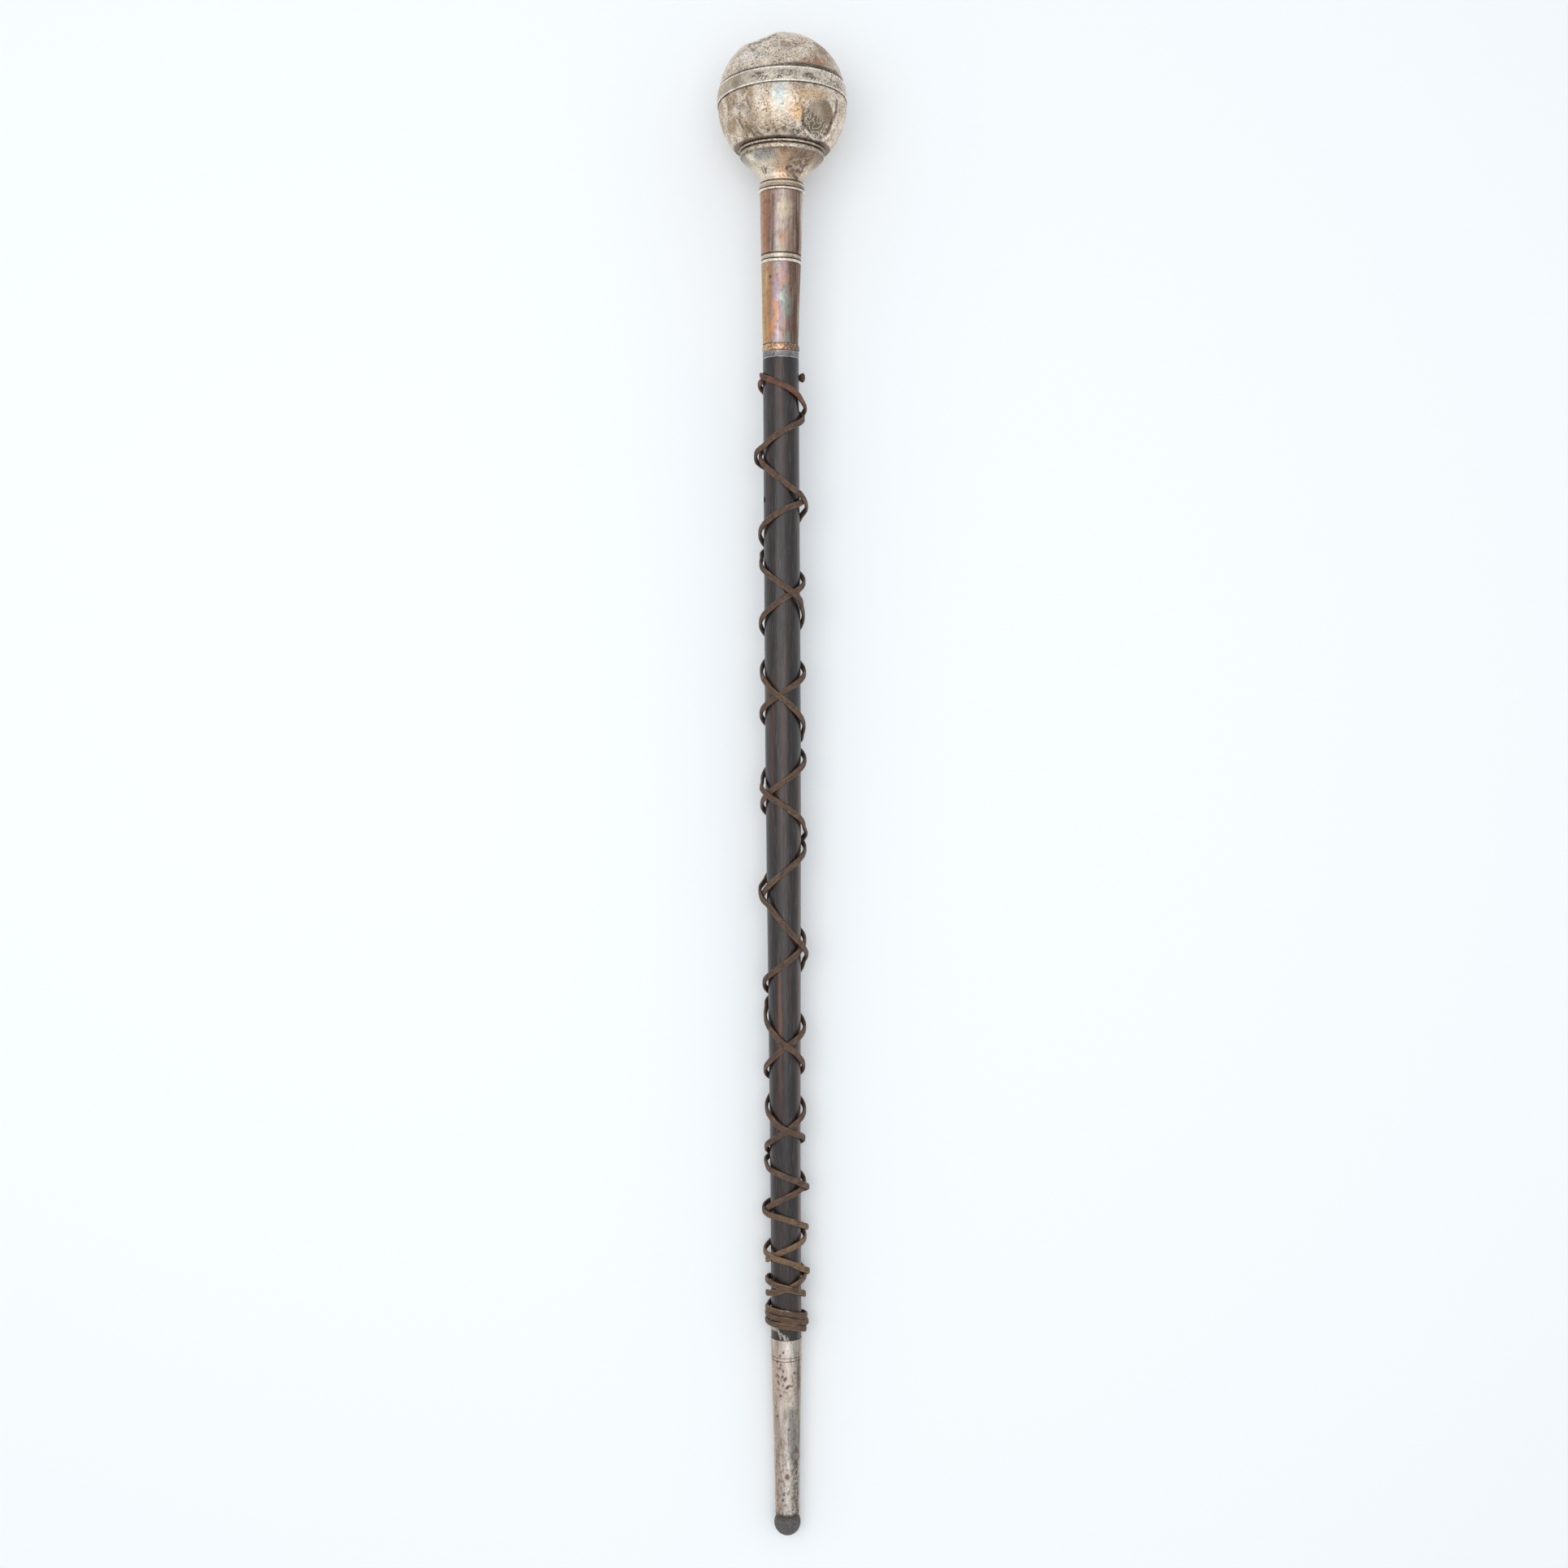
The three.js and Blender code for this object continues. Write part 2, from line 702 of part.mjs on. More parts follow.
// The seat lies square to the collar, while the globe is askew.
const seat = new THREE.CylinderGeometry(globeRadius, globeRadius, globeRadius, turnedSegments);
seat.translate(0, bowlFoot - leanPlace - globeRadius / 2, 0);
seat.applyMatrix4(head.matrixWorld);
seat.applyMatrix4(bowl.matrixWorld.clone().invert());
cutFrom(bowl, [seat]);

// The flats are where the two pieces meet the ground.
for (const piece of [belt, tipBall]) {
  const ground = new THREE.BoxGeometry(4 * globeRadius, 3 * restSpan, globeRadius);
  ground.translate(0, 0, -globeRadius / 2);
  ground.applyMatrix4(piece.matrixWorld.clone().invert());
  cutFrom(piece, [ground]);
}

// The origin is under the middle of the baton, at the ground.
const box = new THREE.Box3().setFromObject(baton, true);
const middle = box.getCenter(new THREE.Vector3());
staff.position.x -= middle.x;
staff.position.y -= middle.y;

export default baton;
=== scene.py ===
"""A band baton lying on a pale floor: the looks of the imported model, piece by piece."""
import math

import bmesh
import bpy
import numpy as np
from mathutils import Matrix, Vector, noise


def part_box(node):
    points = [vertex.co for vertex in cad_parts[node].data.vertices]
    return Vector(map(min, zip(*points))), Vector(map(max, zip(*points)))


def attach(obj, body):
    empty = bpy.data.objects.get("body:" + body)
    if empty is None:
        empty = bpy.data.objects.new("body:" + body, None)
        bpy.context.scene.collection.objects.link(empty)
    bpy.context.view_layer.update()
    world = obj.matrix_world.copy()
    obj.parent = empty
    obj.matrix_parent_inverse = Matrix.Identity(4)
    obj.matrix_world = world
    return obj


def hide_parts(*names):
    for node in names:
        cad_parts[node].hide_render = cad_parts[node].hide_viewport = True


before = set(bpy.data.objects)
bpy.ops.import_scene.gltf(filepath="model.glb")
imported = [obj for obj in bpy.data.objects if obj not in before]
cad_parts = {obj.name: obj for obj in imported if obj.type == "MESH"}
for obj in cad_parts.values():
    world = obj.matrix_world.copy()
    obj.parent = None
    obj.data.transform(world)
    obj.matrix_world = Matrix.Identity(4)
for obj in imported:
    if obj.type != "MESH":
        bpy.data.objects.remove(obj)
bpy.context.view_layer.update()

# Sizes in millimetres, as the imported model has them. Places are counted from the tip end.
MM = 0.001
FIT_GAP = 0.3

TIP_RADIUS = 10.6
TIP_HEIGHT = 19.4
FERRULE_LENGTH = 144
FERRULE_TOP_RADIUS = 12.55
FERRULE_FOOT_RADIUS = 9.62
FERRULE_MOUTH_RADIUS = 8.3
FERRULE_WALL = 0.9
FERRULE_ROUNDING = 2.6
FERRULE_TAPER_POWER = 1.3
FERRULE_LINE_DEPTH = 0.4
FERRULE_LINE_WIDTH = 0.9
FERRULE_UPPER_LINE = 14.3
FERRULE_LINE_SPACING = 2.7

SHAFT_LENGTH = 778
SHAFT_TIP_RADIUS = 12.15
SHAFT_HEAD_RADIUS = 14.2
TAPER_START = 88
TAPER_LENGTH = 430
TENON_WALL = 1.0
TENON_DEPTH = 28
DRILL_TURN = math.radians(-75)
THONG_HOLE_SHARE = 0.9833
SPARE_HOLE_RADIUS = 2.5
SPARE_HOLE_SHARE = 0.8587
GLUED_LENGTH = 14

SOCKET_BAND_LENGTH = 5.4
SOCKET_BAND_RADIUS = 14.15
LOWER_RING_LENGTH = 5.3
LOWER_RING_RADIUS = 14.65
LOWER_SLEEVE_LENGTH = 62.3
LOWER_SLEEVE_FOOT_RADIUS = 14.0
LOWER_SLEEVE_TOP_RADIUS = 15.55
MIDDLE_RING_LENGTH = 7
MIDDLE_RING_RADIUS = 16.15
MIDDLE_RING_LIP_HEIGHT = 2.4
UPPER_SLEEVE_LENGTH = 47.6
UPPER_SLEEVE_FOOT_RADIUS = 15.8
UPPER_SLEEVE_TOP_RADIUS = 16.9
NECK_RING_LENGTH = 7.6
NECK_RING_RADIUS = 19
NECK_RING_LIP_HEIGHT = 1.9
NECK_RING_BAND_RADIUS = 18.3
RING_GROOVE = 0.4
RING_GROOVE_DEPTH = 0.5

NECK_RADIUS = 16.9
NECK_LENGTH = 2.9
FLARE_LENGTH = 16.4
FLARE_POWER = 1.6
RIM_RADIUS = 32.8
RIM_HEIGHT = 4
RIM_BEVEL = 1.4
RIM_EDGE = 0.8
COLLAR_GROOVE = 0.5
COLLAR_GROOVE_DEPTH = 0.9
FOOT_RING_RADIUS = 33.8
FOOT_RING_HEIGHT = 2.3

GLOBE_RADIUS = 50.2
GLOBE_FOOT_RADIUS = 37.2
DOME_STEP = 0.7
DOME_HEIGHT = 48.1
DOME_RISE = 6.9
BELT_START = 0.9
BELT_WIDTH = 11.7
BELT_STAND = 1.2
BELT_CROWN = 0.2
LIP_WIDTH = 1.3
LIP_STAND = 0.35
HEAD_LEAN = math.radians(0.75)
GLOBE_LEAN = math.radians(2.2)
GLOBE_NOD = math.radians(2.9)
BELT_FLAT_DEPTH = 0.7
TIP_FLAT_DEPTH = 0.3

THONG_WIDTH = 4.8
THONG_THICKNESS = 2.7
THONG_SLACK = 1.0
BINDING_SLACK = 2.0
KNOT_WIDTH = 6.8
KNOT_THICKNESS = 5.6
KNOT_LENGTH = 4.9
BINDING_SHARE = 0.04
LOOSE_END_SHARE = 0.02
LEFT_HAND_CROSSING_SHARE = 0.903
LEFT_HAND_REACH_SHARE = 0.025

# Where each turn of a thong passes, in thousandths of the bare shaft above the ferrule.
# This strand goes left, front, right, back as it descends, and ends in the binding.
RIGHT_HAND_TURNS = [
    [984, 973, 955, 929],
    [903, 877, 851, 823],
    [795, 772, 742, 713],
    [685, 657, 629, 601],
    [574, 549, 526, 494],
    [463, 428, 391, 362],
    [333, 306, 281, 260],
    [239, 219, 206, 192],
    [179, 170, 155, 144],
    [133, 126, 114, 103],
    [92, 83, 68, 57],
    [61, 56, 44, 38],
    [32, 29, 22, 23],
    [24.5, 22.3, 15.4, 16.3],
    [17.5, 15.6, 8.8, 9.6],
]
# This strand goes left, back, right, front as it descends.
LEFT_HAND_TURNS = [
    [976.5, 958, 941, 925],
    [903, 881, 860, 846],
    [825, 800, 776, 757],
    [734, 709, 684, 663],
    [642, 618, 595, 573],
    [550, 527, 504, 481],
    [455, 432, 410, 388],
    [366, 343, 321, 302],
    [277, 256, 236, 216],
    [197, 178, 160, 148],
    [132, 118, 104, 94],
    [80, 77, 65, 54],
    [46],
]

# Places along the staff
FERRULE_FOOT = TIP_RADIUS + math.sqrt(TIP_RADIUS ** 2 - FERRULE_MOUTH_RADIUS ** 2) + FIT_GAP
FERRULE_TOP = FERRULE_FOOT + FERRULE_LENGTH
UPPER_LINE = FERRULE_TOP - FERRULE_UPPER_LINE
LOWER_LINE = UPPER_LINE - FERRULE_LINE_SPACING
FERRULE_LINES = (LOWER_LINE, UPPER_LINE)
SHAFT_FOOT = FERRULE_TOP + FIT_GAP
SHAFT_TOP = SHAFT_FOOT + SHAFT_LENGTH
BAND_FOOT = SHAFT_TOP + FIT_GAP
LOWER_RING_FOOT = BAND_FOOT + SOCKET_BAND_LENGTH + FIT_GAP
LOWER_SLEEVE_FOOT = LOWER_RING_FOOT + LOWER_RING_LENGTH + FIT_GAP
MIDDLE_RING_FOOT = LOWER_SLEEVE_FOOT + LOWER_SLEEVE_LENGTH + FIT_GAP
UPPER_SLEEVE_FOOT = MIDDLE_RING_FOOT + MIDDLE_RING_LENGTH + FIT_GAP
NECK_RING_FOOT = UPPER_SLEEVE_FOOT + UPPER_SLEEVE_LENGTH + FIT_GAP
NECK_FOOT = NECK_RING_FOOT + NECK_RING_LENGTH + FIT_GAP
RIM_FOOT = NECK_FOOT + NECK_LENGTH + FLARE_LENGTH
FOOT_RING_FOOT = RIM_FOOT + RIM_HEIGHT + COLLAR_GROOVE
COLLAR_TOP = FOOT_RING_FOOT + FOOT_RING_HEIGHT
BOWL_FOOT = COLLAR_TOP + FIT_GAP
BOWL_CENTRE = BOWL_FOOT + math.sqrt(GLOBE_RADIUS ** 2 - GLOBE_FOOT_RADIUS ** 2)
DOME_CENTRE = BOWL_CENTRE + DOME_RISE
DOME_RADIUS = GLOBE_RADIUS - DOME_STEP
BELT_FOOT = BOWL_CENTRE + BELT_START
BELT_TOP = BELT_FOOT + BELT_WIDTH
TENON_RADIUS = LOWER_SLEEVE_FOOT_RADIUS - TENON_WALL - FIT_GAP
TENON_TOP = LOWER_SLEEVE_FOOT + TENON_DEPTH
SOCKET_RADIUS = TENON_RADIUS + FIT_GAP
THONG_HOLE_RADIUS = math.hypot(THONG_WIDTH, THONG_THICKNESS) / 2 + FIT_GAP

# The staff's own frame, in millimetres along Y from its tip end, the leaning head's from the
# tenon up, and the globe's, which is askew on its collar
belt_rest = GLOBE_RADIUS + BELT_STAND - BELT_FLAT_DEPTH
tip_rest = TIP_RADIUS - TIP_FLAT_DEPTH
rest_span = BELT_FOOT - TIP_RADIUS
tilt = math.atan2(belt_rest, rest_span) - math.asin(tip_rest / math.hypot(rest_span, belt_rest))
shaft_low, shaft_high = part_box("shaft")
tip_low, tip_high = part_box("tip_ball")
tip_end = Vector((
    (shaft_low[0] + shaft_high[0]) / 2,
    tip_low[1],
    (tip_rest - TIP_RADIUS * math.sin(tilt)) * MM,
))
STAFF = Matrix.Translation(tip_end) @ Matrix.Rotation(tilt, 4, "X") @ Matrix.Scale(MM, 4)
TENON_MIDDLE = Matrix.Translation((0, LOWER_SLEEVE_FOOT + TENON_DEPTH / 2, 0))
HEAD = STAFF @ TENON_MIDDLE @ Matrix.Rotation(-HEAD_LEAN, 4, "Z") @ TENON_MIDDLE.inverted()
GLOBE_MIDDLE = Matrix.Translation((0, BOWL_CENTRE, 0))
GLOBE_TURN = Matrix.Rotation(-GLOBE_NOD, 4, "X") @ Matrix.Rotation(GLOBE_LEAN, 4, "Z")
GLOBE = HEAD @ GLOBE_MIDDLE @ GLOBE_TURN @ GLOBE_MIDDLE.inverted()

# The camera looks straight down on the lying staff, as the photograph looks at it
PHOTO_SIZE = 1932
PHOTO_FOCAL = 2300
SENSOR = 36
CAMERA_HEIGHT = 1515.6 * MM
CAMERA_FROM_TIP = 605.1 * MM
CAMERA_ASIDE = 0.6 * MM
CAMERA_ROLL = math.radians(-0.327)
camera_place = Vector((tip_end.x + CAMERA_ASIDE, tip_end.y + CAMERA_FROM_TIP, CAMERA_HEIGHT))


def make_camera():
    data = bpy.data.cameras.new("camera")
    data.sensor_width = SENSOR
    data.lens = PHOTO_FOCAL / PHOTO_SIZE * SENSOR
    data.clip_start = 0.05
    data.clip_end = 20
    camera = add_object("camera", data)
    camera.location = camera_place
    camera.rotation_euler = (0, 0, CAMERA_ROLL)
    bpy.context.scene.camera = camera


# Stage and light
def make_light(name, place, aim, size, power, colour):
    data = bpy.data.lights.new(name, "AREA")
    data.shape = "RECTANGLE"
    data.size, data.size_y = size
    data.energy = power
    data.color = colour
    light = add_object(name, data)
    light.location = place
    light.rotation_euler = (Vector(aim) - Vector(place)).to_track_quat("-Z", "Y").to_euler()


FLOOR_REACH = 4.0
FLOOR_COLOUR = (0.91, 0.93, 0.95, 1)
SKY_COLOUR = (0.93, 0.97, 1.0, 1)
SKY_STRENGTH = 0.8


def make_stage():
    scene = bpy.context.scene
    scene.view_settings.view_transform = "Standard"
    world = bpy.data.worlds.new("world")
    world.use_nodes = True
    background = world.node_tree.nodes["Background"]
    background.inputs["Color"].default_value = SKY_COLOUR
    background.inputs["Strength"].default_value = SKY_STRENGTH
    scene.world = world

    corners = [(-1, -1), (1, -1), (1, 1), (-1, 1)]
    mesh = bpy.data.meshes.new("floor")
    mesh.from_pydata([(x * FLOOR_REACH, y * FLOOR_REACH, 0) for x, y in corners], [], [(0, 1, 2, 3)])
    floor = add_object("floor", mesh)
    paper = bpy.data.materials.new("paper")
    paper.use_nodes = True
    shader = paper.node_tree.nodes["Principled BSDF"]
    shader.inputs["Base Color"].default_value = FLOOR_COLOUR
    shader.inputs["Roughness"].default_value = 0.9
    mesh.materials.append(paper)

    make_light("key", (-0.25, 0.12, 2.1), (0, 0.05, 0), (1.5, 2.4), 18, (1.0, 0.99, 0.97))


# Small helpers for shapes and colours
def add_object(name, data):
    added = bpy.data.objects.new(name, data)
    bpy.context.scene.collection.objects.link(added)
    return added


def reshape(mesh, change):
    """Makes a change to the faces, edges and points of a mesh."""
    shape = bmesh.new()
    shape.from_mesh(mesh)
    change(shape)
    shape.to_mesh(mesh)
    shape.free()


def srgb(red, green, blue):
    """A colour given as it looks on a screen, from 0 to 255, as the linear colour of a shader."""
    return np.array([red, green, blue]) ** 2.2 / 255 ** 2.2


def smooth(value, low, high):
    share = np.clip((value - low) / (high - low), 0, 1)
    return share * share * (3 - 2 * share)


def lumps(points, size, seed=0):
    """Smooth noise from about -1 to 1 at an array of points, with lumps of this size."""
    scaled = np.asarray(points) / np.asarray(size) + seed
    return np.array([noise.noise(Vector(point)) for point in scaled]) * 1.6


class Surface:
    """Where points of a piece lie: on the staff, in millimetres, and in the photograph."""

    def __init__(self, points, matrix):
        self.points = points
        self.place = points[:, 1]
        self.turn = np.arctan2(points[:, 0], points[:, 2])
        self.front = smooth(np.cos(self.turn), -0.05, 0.1)
        self.grit = np.ones(len(points))
        matrix = np.array(matrix)
        self.world = points @ matrix[:3, :3].T + matrix[:3, 3]
        away = self.world[:, :2] - np.array(camera_place)[:2]
        across = away[:, 0] * math.cos(CAMERA_ROLL) + away[:, 1] * math.sin(CAMERA_ROLL)
        up = away[:, 1] * math.cos(CAMERA_ROLL) - away[:, 0] * math.sin(CAMERA_ROLL)
        zoom = PHOTO_FOCAL / (CAMERA_HEIGHT - self.world[:, 2])
        self.x = PHOTO_SIZE / 2 + across * zoom
        self.y = PHOTO_SIZE / 2 - up * zoom

    def stroke(self, start, end, width, soft=1.2):
        """How far a mark from start to end, in photo pixels, covers each point."""
        start = np.array(start, float)
        along = np.array(end, float) - start
        offset = np.stack([self.x, self.y], axis=1) - start
        share = np.clip(offset @ along / max(along @ along, 1e-9), 0, 1)
        distance = np.linalg.norm(offset - share[:, None] * along, axis=1)
        return (1 - smooth(distance, width / 2, width / 2 + soft)) * self.front

    def patch(self, centre, size, soft=0.5):
        """How far an oval patch, in photo pixels, covers each point."""
        distance = np.hypot((self.x - centre[0]) / size[0], (self.y - centre[1]) / size[1]) * 2
        return (1 - smooth(distance, 1 - soft, 1 + soft)) * self.front

    def cloud(self, size, seed, low, high):
        """Soft clouds from 0 to 1, with lumps of this size."""
        return smooth(lumps(self.points, size, seed), low, high)

    def cover(self, colour):
        """Lays one colour, as it looks on a screen, over the whole piece."""
        self.tints = np.tile(srgb(*colour), (len(self.points), 1))

    def wash(self, colour, share):
        """Lays a colour over the tints, as far as share says at each point."""
        share = np.clip(share, 0, 1)[:, None]
        self.tints = self.tints * (1 - share) + srgb(*colour) * share

    def haze(self, colour, share, size, seed, low, high):
        """A wash in soft clouds."""
        self.wash(colour, share * self.cloud(size, seed, low, high))

    def patches(self, marks):
        """Washes of an oval patch each: colour, share and what patch takes."""
        for colour, share, *mark in marks:
            self.wash(colour, share * self.patch(*mark))

    def lines(self, colour, share, marks, width, soft):
        """Washes of one colour along strokes of one width, each from start to end."""
        for start, end in marks:
            self.wash(colour, share * self.stroke(start, end, width, soft))

    def strokes(self, marks):
        """Washes of a stroke each: colour, share and what stroke takes."""
        for colour, share, *mark in marks:
            self.wash(colour, share * self.stroke(*mark))


# Materials: each takes its broad colour from the mesh's tint and its fine detail from noise
def add_node(tree, kind, inputs=(), **settings):
    node = tree.nodes.new(kind)
    for name, value in settings.items():
        setattr(node, name, value)
    for name, value in dict(inputs).items():
        node.inputs[name].default_value = value
    return node


def noise_node(tree, coordinates, size, detail=4, stretch=1):
    """Noise with lumps of a size in millimetres, stretched along the staff."""
    mapping = add_node(tree, "ShaderNodeMapping", {"Scale": (1, 1 / stretch, 1)})
    tree.links.new(coordinates, mapping.inputs["Vector"])
    texture = add_node(tree, "ShaderNodeTexNoise", {"Scale": 1 / (size * MM), "Detail": detail})
    tree.links.new(mapping.outputs["Vector"], texture.inputs["Vector"])
    return texture.outputs["Fac"]


def ranged(tree, value, source, target):
    node = add_node(tree, "ShaderNodeMapRange", {
        "From Min": source[0], "From Max": source[1], "To Min": target[0], "To Max": target[1]})
    tree.links.new(value, node.inputs["Value"])
    return node.outputs["Result"]


def mixed(tree, share, first, second, mode="MIX"):
    """A mix of two colours, each a socket or a fixed colour. The share is a socket or a number."""
    node = add_node(tree, "ShaderNodeMix", data_type="RGBA", blend_type=mode)
    for value, socket in ((share, 0), (first, 6), (second, 7)):
        if isinstance(value, bpy.types.NodeSocket):
            tree.links.new(value, node.inputs[socket])
        elif socket == 0:
            node.inputs[socket].default_value = value
        else:
            node.inputs[socket].default_value = (*value, 1)
    return node.outputs[2]


def product(tree, first, second):
    node = add_node(tree, "ShaderNodeMath", operation="MULTIPLY")
    tree.links.new(first, node.inputs[0])
    tree.links.new(second, node.inputs[1])
    return node.outputs[0]


def make_material(name, metallic, rough, grain, speck, bump, specular=0.5):
    """rough is (lowest, highest); grain is (size, stretch, contrast); speck is (size, stretch,
    noise where it starts, dark colour, pale colour); bump is (grain height, speck height) in
    millimetres. The mesh's grit says how strong the specks are from place to place."""
    material = bpy.data.materials.new(name)
    material.use_nodes = True
    tree = material.node_tree
    shader = tree.nodes["Principled BSDF"]
    shader.inputs["Metallic"].default_value = metallic
    shader.inputs["Specular IOR Level"].default_value = specular
    coordinates = add_node(tree, "ShaderNodeTexCoord").outputs["Object"]
    tint = add_node(tree, "ShaderNodeAttribute", attribute_name="tint").outputs["Color"]
    grit = add_node(tree, "ShaderNodeAttribute", attribute_name="grit").outputs["Fac"]

    grain_size, grain_stretch, contrast = grain
    fine = noise_node(tree, coordinates, grain_size, 6, grain_stretch)
    broad = noise_node(tree, coordinates, grain_size * 7, 3, grain_stretch)
    light = ranged(tree, fine, (0.3, 0.7), (1 - contrast, 1 + contrast))
    shade = ranged(tree, broad, (0.3, 0.7), (1 - contrast * 0.7, 1 + contrast * 0.7))
    colour = mixed(tree, 1.0, tint, light, "MULTIPLY")
    colour = mixed(tree, 1.0, colour, shade, "MULTIPLY")
    speck_size, speck_stretch, threshold, dark, pale = speck
    spots = noise_node(tree, coordinates, speck_size, 5, speck_stretch)
    spots = product(tree, ranged(tree, spots, (threshold, threshold + 0.09), (0, 0.8)), grit)
    flecks = noise_node(tree, coordinates, speck_size * 0.7, 4, speck_stretch)
    flecks = product(tree, ranged(tree, flecks, (0.54, 0.66), (0, 0.6)), grit)
    colour = mixed(tree, flecks, colour, srgb(*pale))
    colour = mixed(tree, spots, colour, srgb(*dark))
    tree.links.new(colour, shader.inputs["Base Color"])

    uneven = noise_node(tree, coordinates, grain_size * 2.5, 4, grain_stretch)
    tree.links.new(ranged(tree, uneven, (0.3, 0.7), rough), shader.inputs["Roughness"])

    grain_bump = add_node(tree, "ShaderNodeBump", {"Strength": 1.0, "Distance": bump[0] * MM})
    tree.links.new(fine, grain_bump.inputs["Height"])
    speck_bump = add_node(tree, "ShaderNodeBump", {"Strength": 1.0, "Distance": bump[1] * MM})
    speck_bump.invert = True
    tree.links.new(spots, speck_bump.inputs["Height"])
    tree.links.new(grain_bump.outputs["Normal"], speck_bump.inputs["Normal"])
    tree.links.new(speck_bump.outputs["Normal"], shader.inputs["Normal"])
    return material


# Each material's metal, roughness, grain, specks, bump and specular, as make_material takes them
SILVER_SPECKS = ((108, 86, 66), (246, 238, 226))
LOOKS = {
    "globe_silver": (1.0, (0.36, 0.58), (1.5, 1, 0.19), (1.4, 1, 0.51, *SILVER_SPECKS), (0.1, 0.1)),
    "sleeve_silver": (1.0, (0.42, 0.58), (1.2, 3, 0.1), (1.3, 2, 0.56, *SILVER_SPECKS), (0.04, 0.05)),
    "ring_silver": (1.0, (0.32, 0.54), (1.2, 1, 0.18), (1.4, 1, 0.52, *SILVER_SPECKS), (0.05, 0.06)),
    "ferrule_silver": (1.0, (0.34, 0.54), (1.3, 2, 0.1), (1.3, 1.5, 0.54, *SILVER_SPECKS), (0.05, 0.08)),
    "ebony": (
        0.0, (0.26, 0.42), (0.7, 26, 0.35), (1.0, 30, 0.62, (76, 52, 42), (80, 72, 70)), (0.05, 0.02), 0.55),
    "leather": (
        0.0, (0.5, 0.75), (0.8, 1, 0.25), (1.2, 1, 0.56, (46, 35, 29), (140, 114, 90)), (0.18, 0.1), 0.4),
    "iron": (0.3, (0.55, 0.8), (0.8, 1, 0.25), (1.0, 1, 0.56, (50, 47, 45), (128, 122, 116)), (0.12, 0.1)),
}
MATERIALS = {name: make_material(name, *look) for name, look in LOOKS.items()}


# Mesh making
SHARP_EDGE = math.radians(38)


def finish_piece(name, mesh, node, slot, surface):
    """Makes the mesh a piece that stands for its node, with its tint, grit and material."""
    mesh.name = name
    mesh.set_sharp_from_angle(angle=SHARP_EDGE)
    piece = add_object(name, mesh)
    tints = mesh.attributes.new("tint", "FLOAT_COLOR", "POINT")
    flat = np.concatenate([np.clip(surface.tints, 0, 1), np.ones((len(surface.tints), 1))], axis=1)
    tints.data.foreach_set("color", flat.astype(np.float32).ravel())
    grits = mesh.attributes.new("grit", "FLOAT", "POINT")
    grits.data.foreach_set("value", np.clip(surface.grit, 0, 1).astype(np.float32))
    mesh.materials.append(MATERIALS[slot])
    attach(piece, "root")
    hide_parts(node)


def finer(outline, step):
    """The outline with points no further apart than a step."""
    points = [outline[0]]
    for start, end in zip(outline, outline[1:]):
        count = max(1, math.ceil(math.dist(start, end) / step))
        for share in np.arange(1, count + 1) / count:
            points.append((start[0] + (end[0] - start[0]) * share, start[1] + (end[1] - start[1]) * share))
    return points


def turned(name, visible, hidden, segments, step, slot, paint, relief=None, matrix=STAFF, cut=None,
           centre=None):
    """A turned piece. Its visible outline rises outside it, and the hidden one closes it.
    relief gives how far each visible point stands out, from the axis or from a ball's centre,
    and paint gives every point's tint."""
    visible = finer(visible, step)
    rings = visible + hidden
    turns = np.linspace(-math.pi, math.pi, segments, endpoint=False)
    radius = np.repeat([ring[0] for ring in rings], segments)
    place = np.repeat([ring[1] for ring in rings], segments)
    turn = np.tile(turns, len(rings))
    sides = np.stack([np.sin(turn), np.zeros_like(turn), np.cos(turn)], axis=1)
    points = sides * radius[:, None]
    points[:, 1] = place
    if relief:
        count = len(visible) * segments
        stand = relief(Surface(points[:count], matrix))
        away = sides[:count]
        if centre is not None:
            away = points[:count] - (0, centre, 0)
            away = away / np.linalg.norm(away, axis=1)[:, None]
        points[:count] += away * stand[:, None]
    faces = []
    for ring in range(len(rings)):
        after = (ring + 1) % len(rings)
        if rings[ring][0] == 0 and rings[after][0] == 0:
            continue
        for side in range(segments):
            beside = (side + 1) % segments
            faces.append((ring * segments + side, ring * segments + beside,
                          after * segments + beside, after * segments + side))
    mesh = bpy.data.meshes.new(name)
    mesh.from_pydata(points.tolist(), [], faces)
    reshape(mesh, join_on_axis)
    if cut:
        mesh = cut(mesh)
    place_piece(name, mesh, matrix, slot, paint)


def join_on_axis(shape):
    """Makes one point of the many that a turned piece has at a place on its axis."""
    on_axis = [vertex for vertex in shape.verts if math.hypot(vertex.co.x, vertex.co.z) < 1e-6]
    bmesh.ops.remove_doubles(shape, verts=on_axis, dist=1e-4)
    for face in shape.faces:
        face.smooth = True


FLOOR_GAP = 0.01 * MM


def place_piece(name, mesh, matrix, slot, paint):
    """Puts a mesh made in the staff's millimetres in its place, above the floor."""
    points = np.empty(len(mesh.vertices) * 3)
    mesh.vertices.foreach_get("co", points)
    surface = Surface(points.reshape(-1, 3), matrix)
    paint(surface)
    world = surface.world.copy()
    world[:, 2] = np.maximum(world[:, 2], FLOOR_GAP)
    mesh.vertices.foreach_set("co", world.ravel())
    mesh.update()
    finish_piece(name + "_fine", mesh, name, slot, surface)


def bead(base, top, low, high, steps, fullness=0.6):
    """The rounded outline of a bead between two places, from its base radius to its top radius."""
    return [
        (base + (top - base) * max(math.sin(math.pi * share), 0) ** fullness, low + (high - low) * share)
        for share in np.linspace(0, 1, steps + 1)
    ]


